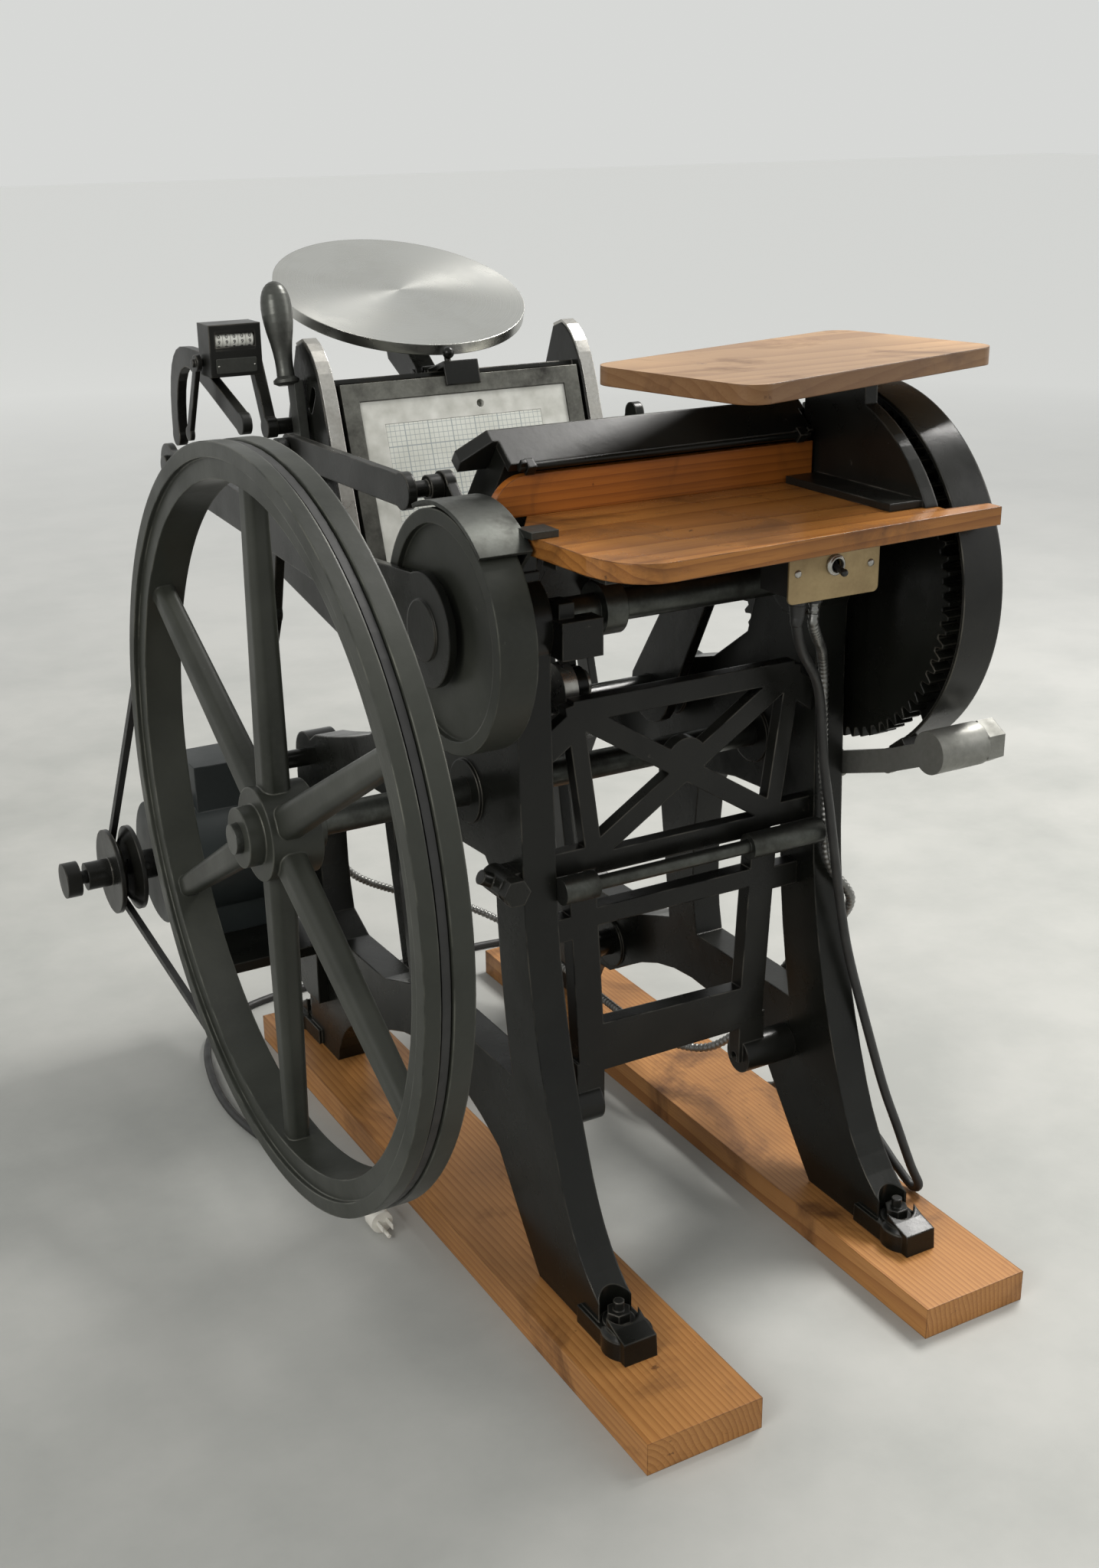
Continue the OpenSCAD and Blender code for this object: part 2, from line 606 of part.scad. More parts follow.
module sheave_fixed() color([0.25, 0.26, 0.25]) place() {
    translate([groove_x + belt_w / 2 - 1.4, motor_at[0], motor_at[1]]) rotate([0, 90, 0])
        cylinder(h = 8, r1 = sheave_r - 16, r2 = sheave_r);
    x_bar(groove_x + belt_w / 2 + 6, groove_x + belt_w / 2 + 12, motor_at, sheave_r);
    x_bar(groove_x + belt_w / 2 + 12, motor_x0 - 3, motor_at, 20);
    motor_spin_shaft();
    // collar and stop of the spring at the shaft's outer end
    x_bar(barrel_x0, -496, motor_at, barrel_r);
}
slide_room = 10;
module sheave_sliding() color([0.28, 0.29, 0.28]) place() difference() {
    union() {
        translate([groove_x - belt_w / 2 + 1.4, motor_at[0], motor_at[1]]) rotate([0, -90, 0])
            cylinder(h = 8, r1 = sheave_r - 16, r2 = sheave_r);
        x_bar(groove_x - belt_w / 2 - 12, groove_x - belt_w / 2 - 6, motor_at, sheave_r);
        x_bar(-496 + slide_room, groove_x - belt_w / 2 - 10, motor_at, barrel_r - 5);
    }
    x_bar(-520, -400, motor_at, 9 + run_fit);
}
module drive_belt() color([0.1, 0.1, 0.1]) place() {
    x_plate(groove_x - belt_w / 2 + 1.8, groove_x + belt_w / 2 - 1.8) difference() {
        belt_loop(4.5);
        belt_loop(-4.5);
    }
}
module belt_loop(out) hull() {
    translate(drive_at) circle(fly_r - groove_d / 2 - 0.6 + out, $fn = 96);
    translate(motor_at) circle(sheave_r - 9 + out, $fn = 32);
}

// Drive shaft with its flywheel and pinion
module at_drive() translate([0, drive_at[0], drive_at[1]]) children();
module fly_rim_ring() at_drive() difference() {
    translate([fly_x0, 0, 0]) rotate([0, 90, 0]) cylinder(h = fly_w, r = fly_r, $fn = 96);
    translate([fly_x0 - 1, 0, 0]) rotate([0, 90, 0]) cylinder(h = fly_w + 2, r = fly_r - fly_rim, $fn = 96);
    translate([groove_x, 0, 0]) rotate([0, 90, 0]) rotate_extrude($fn = 96)
        polygon([[fly_r + 1, -groove_w / 2], [fly_r - groove_d, -groove_w / 2 + 2],
            [fly_r - groove_d, groove_w / 2 - 2], [fly_r + 1, groove_w / 2]]);
    translate([fly_x0 - 1, 0, 0]) rotate([0, 90, 0]) cylinder(h = 7, r = fly_r - 16, $fn = 96);
}
module fly_hub_spokes() difference() {
    union() {
        x_bar(fly_x0 + 2, fly_x1 + 8, drive_at, fly_hub_r);
        x_bar(fly_x0 - 16, fly_x0 + 2, drive_at, fly_hub_r - 18);
        at_drive() for (k = [0:5]) rotate([60 * k, 0, 0]) translate([fly_x0 + fly_w / 2, 0, 0]) hull() {
            translate([0, 0, fly_hub_r - 8]) linear_extrude(1) round_box(30, 36, 10);
            translate([0, 0, fly_r - fly_rim - 1.3]) linear_extrude(1) round_box(24, 26, 8);
        }
    }
    x_bar(fly_x0 - 30, fly_x1 + 30, drive_at, drive_shaft_r + 0.02);
}
module flywheel() color([0.27, 0.28, 0.25]) place() {
    fly_rim_ring();
    fly_hub_spokes();
}
module gear_shape(teeth, m) {
    rp = m * teeth / 2;
    ra = rp + 0.9 * m;
    rf = rp - 1.15 * m;
    step = 360 / teeth;
    polygon([for (k = [0:teeth - 1]) each [
        rf * [cos((k - 0.36) * step), sin((k - 0.36) * step)],
        rp * [cos((k - 0.235) * step), sin((k - 0.235) * step)],
        ra * [cos((k - 0.12) * step), sin((k - 0.12) * step)],
        ra * [cos((k + 0.12) * step), sin((k + 0.12) * step)],
        rp * [cos((k + 0.235) * step), sin((k + 0.235) * step)],
        rf * [cos((k + 0.36) * step), sin((k + 0.36) * step)]]]);
}
mesh_angle = atan2(drive_dir[1], drive_dir[0]);
module drive_shaft() color([0.5, 0.5, 0.48]) place() {
    x_bar(fly_x0 - 24, gear_x0 - 1, drive_at, drive_shaft_r);
    x_bar(fly_x1 + 9, fly_x1 + 21, drive_at, drive_shaft_r + 12);
    x_plate(gear_x0 - 1, gear_x1) translate(drive_at) rotate(mesh_angle + 180 + 180 / pinion_teeth) gear_shape(pinion_teeth, gear_m);
}
module main_shaft() color([0.33, 0.34, 0.31]) place() {
    x_bar(disc_x0 + disc_hollow + 1, gear_x0 + gear_web, main_at, main_shaft_r);
    x_bar(boss_out + 1, gear_x0 - 1, main_at, main_shaft_r + 12);
    x_bar(-92, -66, main_at, main_shaft_r + 12);
}
module crank_disc() color([0.3, 0.31, 0.28]) place() difference() {
    x_bar(disc_x0, disc_x1, main_at, disc_r, 72);
    x_bar(disc_x0 - 1, disc_x0 + disc_hollow, main_at, disc_r - disc_rim, 72);
    x_bar(disc_x0 - 1, disc_x1 + 1, main_at, main_shaft_r + 0.02);
}
module main_gear() color([0.24, 0.25, 0.23]) place() difference() {
    union() {
        x_plate(gear_x0, gear_x0 + gear_web) disc_at(main_at, gear_m * gear_teeth / 2 - 14);
        x_plate(gear_x0, gear_x1) difference() {
            translate(main_at) rotate(mesh_angle) gear_shape(gear_teeth, gear_m);
            disc_at(main_at, gear_m * gear_teeth / 2 - 22);
        }
    }
    x_bar(0, 300, main_at, main_shaft_r + 0.02);
}

// Platen, drawn upright with its face to the back, then tilted open
module at_platen() translate([0, platen_mid[0], platen_mid[1]]) rotate([platen_tilt, 0, 0]) children();
module platen() color([0.18, 0.18, 0.16]) place() difference() {
    union() {
        at_platen() {
            box([-platen_w / 2, -platen_t, -platen_h / 2], [platen_w / 2, 0, platen_h / 2]);
            for (x = [-110, 0, 110]) box([x - 9, -platen_t - 26, -platen_h / 2 + 20], [x + 9, -platen_t + 1, 40]);
        }
        x_plate(-150, -136) polygon(platen_web);
        x_plate(136, 150) polygon(platen_web);
        // ear that carries the link's stud, outside the bed's roller track
        x_plate(-ear_out - 14, -ear_out - 2) eye_bar(link_front, on_platen(-22, 30), 30, 17, 15);
        x_bar(-ear_out - 3, -platen_w / 2 + 2, on_platen(-22, 30), 14);
    }
    x_bar(-200, 200, rocker_at, rocker_r + 0.02);
    x_bar(-ear_out - 20, -ear_out, link_front, 9 + run_fit);
}
function on_platen(n, u) = platen_mid + n * [cos(platen_tilt), sin(platen_tilt)] + u * [-sin(platen_tilt), cos(platen_tilt)];
platen_web = concat([on_platen(-4, 60), on_platen(-4, -platen_h / 2 + 8), on_platen(-24, -platen_h / 2 + 4)],
    arc(rocker_at, rocker_r + 22, 20, -150, 8), [on_platen(-platen_t - 30, -20)]);
module platen_rocker() color([0.36, 0.37, 0.34]) place() {
    x_bar(-frame_out + 2, frame_out - 2, rocker_at, rocker_r);
    difference() {
        x_plate(-118, -102) {
            eye_bar(rocker_at, roller_at, 44, rocker_r + 16, 20);
        }
        x_bar(-130, -90, roller_at, 9 + run_fit);
    }
}
roller_at = [378, 700];
module cam_roller() color([0.7, 0.7, 0.68]) place() {
    x_bar(-136, -119, roller_at, 28);
    x_bar(-120, -98, roller_at, 9);
    x_bar(-100, -96, roller_at, 15);
}
module top_bail() color([0.1, 0.1, 0.1]) place() at_platen() {
    difference() {
        union() {
            box([-platen_w / 2, -platen_t - 8, platen_h / 2 - 2], [platen_w / 2, 0, platen_h / 2 + 8]);
            for (s = [-1, 1]) translate([s * platen_w / 2, 0, platen_h / 2]) mirror([s > 0 ? 0 : 1, 0, 0])
                y_plate(-16, 0) polygon([[-2, 8], [7, 8], [35, -18], [35, -32], [0.4, -32], [0.4, -2]]);
            for (s = [-1, 1]) box([s * 168 - 5, rod_n - 6, rod_u - 6], [s * 168 + 5, -platen_t - 7, rod_u + 6]);
        }
        box([-platen_w / 2 - 1, -platen_t, platen_h / 2 - 60], [platen_w / 2 + 1, 0, platen_h / 2]);
        x_bar(-190, 190, [rod_n, rod_u], 4 + run_fit);
    }
}
module gripper_bar() color([0.55, 0.55, 0.53]) place() at_platen() {
    x_bar(-180, 180, [rod_n, rod_u], 4);
    for (s = [-1, 1]) box([s * 177 - 3, rod_n - 2.5, rod_u], [s * 177 + 3, rod_n + 2.5, rod_u + 9]);
}
rod_n = -platen_t - 13;
rod_u = platen_h / 2 + 8;

// Bed, drawn upright with its face to the front, then leaned back
module at_bed() translate([0, bed_mid[0], bed_mid[1]]) rotate([-bed_lean, 0, 0]) children();
bed_h = 262;
ear_in = bed_w / 2;
ear_out = ear_in + ear_t;
function on_bed(n, u) = bed_mid + n * [cos(bed_lean), -sin(bed_lean)] + u * [sin(bed_lean), cos(bed_lean)];
rail_t = 4;
rail_n = -type_h + rail_t;
function track_top(n, k) = bez(on_bed(12, 182 + k), on_bed(n, 160 + k), on_bed(n, 96), 6);
ear_profile = concat(track_top(rail_n, 0), [on_bed(rail_n, -124)],
    [on_bed(6, -152), on_bed(60, -172)], [[1040, 700]], arc(stud_at, 24, -60, 90, 6),
    [[1060, 862], [960, 884], [930, 960], on_bed(34, 182)]);
module bed() color([0.24, 0.25, 0.22]) place() difference() {
    union() {
        at_bed() {
            box([-ear_in - 1, 0, -bed_h / 2], [ear_in + 1, bed_t, bed_h / 2]);
            bed_foot(0);
            for (s = [-1, 1]) box([s * 36 - 5, bed_t - 1, bed_h / 2 - 10], [s * 36 + 5, bed_t + 14, bed_h / 2 + 12]);
        }
        both() {
            x_plate(ear_in, ear_out) polygon(ear_profile);
        }
        // studs for the draw bars
        x_bar(left_bar_x0 - 6, -ear_in, stud_at, 14);
        x_bar(ear_in, right_bar_x1 + 6, stud_at, 14);
        x_bar(lever_x0 - 1, -ear_in, lever_at, 11);
    }
    x_plate(-ear_out - 1, ear_out + 1) ear_hole();
    at_bed() x_bar(-50, 50, [clamp_n, clamp_u], 5 + run_fit);
}
module ear_hole() translate([868, 945]) rotate(30) {
    square([14, 22], center = true);
    translate([0, 11]) circle(7, $fn = 32);
    translate([0, -11]) circle(7, $fn = 32);
}
// Strong foot along the bed's lower edge, that the two legs are bolted to
module bed_foot(gap) box([-ear_in + 20 - gap, bed_t - 1 - gap, -bed_h / 2 - 30 - gap],
    [ear_in - 20 + gap, bed_t + 30 + gap, -bed_h / 2 + 20 + gap]);
module bed_leg_solid() difference() {
    union() {
        x_plate(118, 134) bed_leg();
        x_bar(118, frame_out - 2, bed_at, bed_pivot_r);
    }
    at_bed() {
        bed_foot(0);
        box([-ear_in, 0, -bed_h / 2], [ear_in, bed_t, bed_h / 2]);
    }
}
module bed_legs() color([0.24, 0.25, 0.22]) place() both() bed_leg_solid();
module bed_leg() difference() {
    union() {
        polygon([bed_at + [-34, 0], bed_at + [34, 0], [902, 700], [840, 740], [812, 720]]);
        disc_at(bed_at, 34);
    }
    polygon([bed_at + [-8, 70], bed_at + [22, 70], [856, 620], [824, 640]]);
}
lever_at = [878, 860];
module roller_rails() color([0.62, 0.62, 0.6]) place() both() x_plate(ear_in + 1, ear_out - 1)
    difference() {
        polygon(concat([on_bed(34, 176), on_bed(34, 186)], track_top(-type_h, rail_t),
            [on_bed(-type_h, -120), on_bed(rail_n + 6, -120)], [on_bed(rail_n + 6, 90)]));
        polygon(concat(track_top(rail_n, 0), [on_bed(rail_n, -130), on_bed(60, -130), on_bed(60, 182)]));
    }

module chase() color([0.45, 0.45, 0.43]) place() at_bed() difference() {
    box([-chase_w / 2, -chase_t, -chase_h / 2], [chase_w / 2, 0, chase_h / 2]);
    box([-chase_w / 2 + chase_bar, -chase_t - 1, -chase_h / 2 + chase_bar], [chase_w / 2 - chase_bar, 1, chase_h / 2 - chase_bar]);
}
clamp_n = bed_t + 7;
clamp_u = bed_h / 2 + 5;
module chase_clamp() color([0.55, 0.55, 0.52]) place() at_bed() {
    box([-24, -chase_t - 2.3, chase_h / 2 - 12], [24, -chase_t - 0.5, clamp_u + 3]);
    box([-24, -chase_t - 1, bed_h / 2 + 1], [24, clamp_n, clamp_u + 3]);
    x_bar(-29, 29, [clamp_n, clamp_u], 8);
    x_bar(-42, 42, [clamp_n, clamp_u], 5);
    translate([-15, -chase_t + 3, clamp_u]) cylinder(h = 12, r = 4, $fn = 32);
    translate([-15, -chase_t - 2, clamp_u + 13]) sphere(7.5);
}
form_w = chase_w - 2 * chase_bar;
form_h = chase_h - 2 * chase_bar;
module form_base() color([0.75, 0.76, 0.72]) place() at_bed()
    box([-form_w / 2 + 30, -chase_t + 2, -form_h / 2 + 0.3], [form_w / 2 - 40, -0.3, form_h / 2 - 30]);
module furniture() color([0.5, 0.5, 0.47]) place() at_bed() difference() {
    union() {
        box([-form_w / 2 + 0.3, -chase_t + 2, form_h / 2 - 29.7], [form_w / 2 - 0.3, -0.3, form_h / 2 - 0.3]);
        box([-form_w / 2 + 0.3, -chase_t + 2, -form_h / 2 + 0.3], [-form_w / 2 + 29.7, -0.3, form_h / 2 - 29]);
        box([form_w / 2 - 39.7, -chase_t + 2, -form_h / 2 + 0.3], [form_w / 2 - 0.3, -0.3, form_h / 2 - 29]);
    }
    translate([20, -chase_t - 1, form_h / 2 - 15]) rotate([-90, 0, 0]) cylinder(h = 14, r = 5, $fn = 32);
}

// Ink disk on its bracket behind the bed's top
disk_at = [1015, 1054];
module at_disk() translate([0, disk_at[0], disk_at[1]]) rotate([disk_tilt, 0, 0]) children();
module ink_disk() color([0.6, 0.6, 0.58]) place() at_disk() {
    translate([0, 0, -disk_t]) cylinder(h = disk_t, r = disk_r, $fn = 96);
    translate([0, 0, -disk_t - 8]) cylinder(h = 8, r = 60);
    translate([0, 0, -disk_t - 46]) cylinder(h = 38, r = 12);
}
module disk_bracket() color([0.2, 0.21, 0.19]) place() difference() {
    union() {
        at_disk() translate([0, 0, -disk_t - 50]) cylinder(h = 41.5, r = 26);
        x_plate(-14, 14) polygon([on_bed(bed_t + 12, 96), on_bed(bed_t + 12, 58), [1030, 964], [1044, 1000], [1016, 1012]]);
        at_bed() box([-120, bed_t, 56], [120, bed_t + 16, 98]);
    }
    at_disk() translate([0, 0, -disk_t - 47]) cylinder(h = 60, r = 12 + run_fit);
}

// Counter
counter_at = [-269, 932, 1006];
module at_counter() translate(counter_at) children();
wheel_gap = 0.5;
wheel_w = (box_w - 17) / wheel_count - wheel_gap;
wheel_y = -box_d / 2 + wheel_r + 1.5;
wheel_z = box_h / 2 - 8 - wheel_r;
module counter_case() difference() {
    cube([box_w, box_d, box_h], center = true);
    translate([0, wheel_y, wheel_z]) cube([box_w - 16, 2 * wheel_r + 1, 2 * wheel_r + 1], center = true);
    translate([0, -box_d / 2, wheel_z]) cube([box_w - 16, 6, 15], center = true);
}
module counter_box() color([0.17, 0.18, 0.17]) place() at_counter() {
    counter_case();
    translate([-box_w / 2 + 2, wheel_y, wheel_z]) rotate([0, 90, 0]) cylinder(h = box_w - 4, r = 2.5, $fn = 32);
}
module counter_wheel(i) color([0.9, 0.9, 0.86]) place() at_counter()
    translate([-(box_w - 16) / 2 + wheel_gap + (i - 1) * (wheel_w + wheel_gap), wheel_y, wheel_z]) rotate([0, 90, 0])
        difference() {
            cylinder(h = wheel_w, r = wheel_r);
            translate([0, 0, -1]) cylinder(h = wheel_w + 2, r = 2.5 + run_fit, $fn = 32);
        }
module counter_bracket() color([0.3, 0.3, 0.28]) place() {
    at_counter() translate([-10, box_d / 2, -12]) cube([56, 14, 24]);
    x_plate(counter_arm_x0, counter_arm_x0 + 14) {
        strut([922, 908], [966, 998], 15);
        disc_at([922, 908], 13);
        disc_at([966, 998], 14);
    }
    x_bar(counter_arm_x0, -ear_out, [922, 908], 10);
    // arched arm beside the counter
    x_bar(arch_x0, counter_arm_x0 + 14, [966, 990], 11);
    x_plate(arch_x0, arch_x0 + 12) {
        polygon(concat(bez([1113, 878], [1116, 1000], [1040, 998], 8), [[955, 998], [955, 972], [853, 938], [860, 916], [962, 952],
            [1030, 974]], bez([1030, 974], [1090, 976], [1088, 878], 8)));
        disc_at([1100.5, 878], 13.5);
        disc_at([857, 927], 13);
    }
}
arch_x0 = -291;
counter_pin = [944, 990];
lever_foot = counter_pin + [46, -92];
module counter_lever() color([0.3, 0.3, 0.28]) place() {
    x_bar(-315, -302.5, counter_pin, 5, 32);
    x_plate(-311, -305) {
        strut(counter_pin, lever_foot, 11);
        disc_at(counter_pin, 10);
        disc_at(lever_foot, 9);
    }
}

// Draw bars from the bed's studs to the cranks
module draw_bar(x0, x1, pin_x0, pin_x1) {
    difference() {
        x_plate(x0, x1) {
            eye_bar(crank_at, stud_at, 50, big_end_r, bar_eye_r);
        }
        x_bar(x0 - 1, x1 + 1, stud_at, 14 + run_fit);
    }
    x_bar(pin_x0, pin_x1, crank_at, 18);
}
module draw_bar_left() color([0.3, 0.31, 0.28]) place() {
    draw_bar(left_bar_x0, left_bar_x1, left_bar_x0 - 2, disc_x0 + disc_hollow - 0.5);
    x_bar(left_bar_x0 - 2.5, left_bar_x0, crank_at, 32);
    x_plate(left_bar_x0, left_bar_x1) {
        disc_at(crank_at, outer_end_r);
        translate(crank_at) rotate(atan2(-bar_dir[1], -bar_dir[0]))
            polygon([[0, outer_end_r - 3], [250, 25], [250, -25], [0, 3 - outer_end_r]]);
    }
}
module draw_bar_right() color([0.3, 0.31, 0.28]) place()
    draw_bar(right_bar_x0, right_bar_x1, gear_x0 + gear_web + 0.5, right_bar_x1 + 4);

// Roller frame: two curved arms on a cross shaft
arm_back = link_back;
module arm_shape() {
    strut(swing_at, [938, 545], 30);
    strut([938, 545], [866, 690], 30);
    strut([866, 690], arm_back, 26);
    disc_at(swing_at, 26);
    disc_at([938, 545], 16);
    disc_at([866, 690], 16);
    disc_at(arm_back, 14);
}
right_arm_x0 = gear_x0 + 2;
module roller_frame() color([0.26, 0.27, 0.24]) place() {
    x_bar(left_arm_x0, right_arm_x0 + arm_t, swing_at, swing_shaft_r);
    x_plate(left_arm_x0, left_arm_x0 + arm_t) arm_shape();
    x_plate(right_arm_x0, right_arm_x0 + arm_t) arm_shape();
    x_bar(left_arm_x0 + arm_t, link_x0 - link_gap, arm_back, 6, 32);
}
module platen_link() color([0.4, 0.41, 0.38]) place() {
    x_plate(link_x0, link_x0 + link_t) {
        strut(link_front, link_back, 34);
        disc_at(link_front, 20);
        disc_at(link_back, 18);
    }
    x_bar(link_x0 + link_t - 1, -ear_out - 4, link_front, 9);
    x_bar(-222, -ear_out - 15, link_front, 14);
}
module throw_lever() color([0.5, 0.5, 0.48]) place() difference() {
    union() {
        x_plate(lever_x0, lever_x0 + lever_t) {
            strut(lever_at, lever_neck, 22);
            disc_at(lever_at, 20);
        }
        lever_grip();
    }
    x_bar(lever_x0 - 1, lever_x0 + lever_t + 1, lever_at, 11 + run_fit);
}
lever_neck = [897, 966];
module lever_grip() translate([lever_x0 - 5, lever_neck[0], lever_neck[1]])
    rotate([-atan2(24, 106), 0, 0]) rotate_extrude($fn = 48)
        polygon(concat([[0, -5], [10, -5], [16, -2], [16, 2], [11, 6]],
            bez([11, 6], [9.5, 24], [13.5, 46], 4), bez([13.5, 46], [19.5, 72], [19, 88], 4),
            bez([19, 88], [18, 118], [0, 120], 7)));

runner_left();
runner_right();
side_frame_left();
side_frame_right();
front_brace();
cross_brace();
stay_rod();
foot_bolts();
bearing_bolt();
delivery_board();
board_lip();
board_support();
feed_post();
feed_board();
gear_guard();
guard_stay();
disc_guard();
switch_box();
switch_plate();
switch_toggle();
power_cord();
power_plug();
metal_conduit();
motor();
motor_bracket();
sheave_fixed();
sheave_sliding();
drive_belt();
flywheel();
drive_shaft();
main_shaft();
crank_disc();
main_gear();
platen();
platen_rocker();
cam_roller();
top_bail();
gripper_bar();
bed();
bed_legs();
roller_rails();
chase();
chase_clamp();
form_base();
furniture();
disk_bracket();
ink_disk();
counter_bracket();
counter_box();
counter_wheel(1);  // counter_wheel_1
counter_wheel(2);  // counter_wheel_2
counter_wheel(3);  // counter_wheel_3
counter_wheel(4);  // counter_wheel_4
counter_wheel(5);  // counter_wheel_5
counter_lever();
draw_bar_left();
draw_bar_right();
roller_frame();
platen_link();
throw_lever();
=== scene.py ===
# %% [markdown]
# # A platen printing press
# The imported model is a fixed frame. Every piece made here is placed by it, rides on one of
# its bodies, and is worked out with numpy as a surface: a grid of points from a formula, or
# a profile carried along a path. We load the frame first, with a helper that gives a part's box.

# %% Load the frame
import json
import math

import bpy
import numpy as np
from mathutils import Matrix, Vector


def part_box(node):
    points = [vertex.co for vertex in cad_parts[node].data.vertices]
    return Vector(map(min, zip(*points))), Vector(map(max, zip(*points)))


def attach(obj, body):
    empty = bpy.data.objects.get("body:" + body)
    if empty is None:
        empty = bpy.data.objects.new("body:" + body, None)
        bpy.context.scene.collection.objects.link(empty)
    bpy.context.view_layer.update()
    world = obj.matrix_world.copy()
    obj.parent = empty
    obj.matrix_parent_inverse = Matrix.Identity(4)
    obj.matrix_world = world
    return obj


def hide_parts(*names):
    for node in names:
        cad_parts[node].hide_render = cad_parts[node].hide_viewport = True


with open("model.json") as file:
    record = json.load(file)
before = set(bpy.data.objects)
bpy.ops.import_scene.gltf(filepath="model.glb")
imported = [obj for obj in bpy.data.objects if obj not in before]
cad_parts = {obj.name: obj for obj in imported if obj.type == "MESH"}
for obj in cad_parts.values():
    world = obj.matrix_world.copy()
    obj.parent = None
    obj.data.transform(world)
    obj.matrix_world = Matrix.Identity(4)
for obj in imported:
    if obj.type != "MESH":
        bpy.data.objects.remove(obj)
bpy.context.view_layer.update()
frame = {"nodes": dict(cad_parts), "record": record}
TAU = 2 * math.pi
MM = 0.001

# %% [markdown]
# The press was measured from its own centre line, with y from the front of the left runner
# and z from the floor, in millimetres. The frame's origin is under the middle of its box, so
# one function turns press millimetres into frame metres. The left runner's corner gives it.

# %% Press coordinates
RUNNER_CORNER = np.array([-253.0, -5.0, 0.0])
runner_low = np.array(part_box("runner_left")[0])
shift = runner_low - RUNNER_CORNER * MM


def at(points):
    """Press millimetres to frame metres: scaled by a thousandth and moved by the shift."""
    return np.asarray(points, float) * MM + shift


print("shift of the origin:", np.round(shift, 4))

# %% [markdown]
# ## The camera
# The photograph's lens and viewpoint were solved from the boards, the runners, the flywheel
# and the disk. The view looks down on the press from the front left.

# %% Camera
CAMERA_PLACE = [-1040.4, -1222.02, 1288.54]
CAMERA_TURN = math.radians(-29.35)
CAMERA_FALL = math.radians(20.76)
CAMERA_ROLL = math.radians(-0.64)
FOCAL_PIXELS = 2367.08
PHOTO_HEIGHT = 2048
SENSOR = 24.0


def camera_axes(turn, fall, roll):
    """Right, up and back directions of a camera that is turned, tipped down and rolled."""
    right = np.array([math.cos(turn), math.sin(turn), 0.0])
    back = np.array([math.sin(turn) * math.cos(fall), -math.cos(turn) * math.cos(fall), math.sin(fall)])
    up = np.cross(back, right)
    return math.cos(roll) * right + math.sin(roll) * up, math.cos(roll) * up - math.sin(roll) * right, back


camera_data = bpy.data.cameras.new("camera")
camera_data.sensor_fit = "VERTICAL"
camera_data.sensor_height = SENSOR
camera_data.lens = SENSOR * FOCAL_PIXELS / PHOTO_HEIGHT
camera_data.clip_end = 80.0
camera = bpy.data.objects.new("camera", camera_data)
bpy.context.scene.collection.objects.link(camera)
pose = np.eye(4)
pose[:3, 0], pose[:3, 1], pose[:3, 2] = camera_axes(CAMERA_TURN, CAMERA_FALL, CAMERA_ROLL)
pose[:3, 3] = at(CAMERA_PLACE)
camera.matrix_world = pose.T.tolist()
bpy.context.scene.camera = camera
print("lens in millimetres:", round(camera_data.lens, 2))

# %% [markdown]
# ## Turning arrays into meshes
# A surface is a grid of points with rows and columns. Neighbouring points become quads. A
# grid may be closed along either direction, and an open tube gets flat caps.

# %% Mesh helpers
def make_piece(name, points, faces, body, material, smooth=True):
    """A mesh object from an array of points and lists of faces, riding on a body."""
    mesh = bpy.data.meshes.new(name)
    mesh.from_pydata(np.asarray(points).tolist(), [], faces)
    mesh.update()
    mesh.polygons.foreach_set("use_smooth", [smooth] * len(mesh.polygons))
    mesh.materials.append(material)
    piece = bpy.data.objects.new(name, mesh)
    bpy.context.scene.collection.objects.link(piece)
    if body is None:
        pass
    else:
        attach(piece, body)
    return piece


def grid_faces(rows, columns, closed_rows=False, closed_columns=True, start=0):
    """Quads between neighbouring points of a grid that is stored row by row."""
    r = np.arange(rows if closed_rows else rows - 1)[:, None]
    c = np.arange(columns if closed_columns else columns - 1)[None, :]
    up, side = (r + 1) % rows, (c + 1) % columns
    quads = np.stack([r * columns + c, r * columns + side, up * columns + side, up * columns + c], -1)
    return (quads.reshape(-1, 4) + start).tolist()


def smooth_path(points, steps):
    """A Catmull-Rom curve: each span is a cubic that leaves and reaches its ends along the
    line between the neighbouring points. Returns steps points for each span and the last."""
    p = np.asarray(points, float)
    before = np.vstack([p[:1], p[:-2]])
    after = np.vstack([p[2:], p[-1:]])
    a, b, c, d = before[:, None], p[:-1, None], p[1:, None], after[:, None]
    t = (np.arange(steps) / steps)[None, :, None]
    curve = 2 * b + (c - a) * t + (2 * a - 5 * b + 4 * c - d) * t**2 + (3 * b - a - 3 * c + d) * t**3
    return np.vstack([0.5 * curve.reshape(-1, 3), p[-1:]])


def path_frames(path):
    """Tangent and two side directions at each point, turned as little as possible."""
    tangents = np.gradient(path, axis=0)
    tangents /= np.linalg.norm(tangents, axis=1, keepdims=True)
    side = np.cross(tangents[0], [0.3, 0.2, 0.93])
    sides = []
    for tangent in tangents:
        side = side - tangent * side.dot(tangent)
        side /= np.linalg.norm(side)
        sides.append(side)
    sides = np.array(sides)
    return tangents, sides, np.cross(tangents, sides)


def tube_points(path, radius, around):
    """A circle of the given radius carried along the path, square to it."""
    _, side, up = path_frames(path)
    angle = np.arange(around) * TAU / around
    ring = np.cos(angle)[None, :, None] * side[:, None] + np.sin(angle)[None, :, None] * up[:, None]
    radius = np.broadcast_to(radius, (len(path),))[:, None, None]
    return (path[:, None] + radius * ring).reshape(-1, 3)


def tube_faces(rings, around):
    """The quads of a tube and its two flat ends."""
    first = list(range(around))[::-1]
    last = [(rings - 1) * around + k for k in range(around)]
    return grid_faces(rings, around) + [first, last]


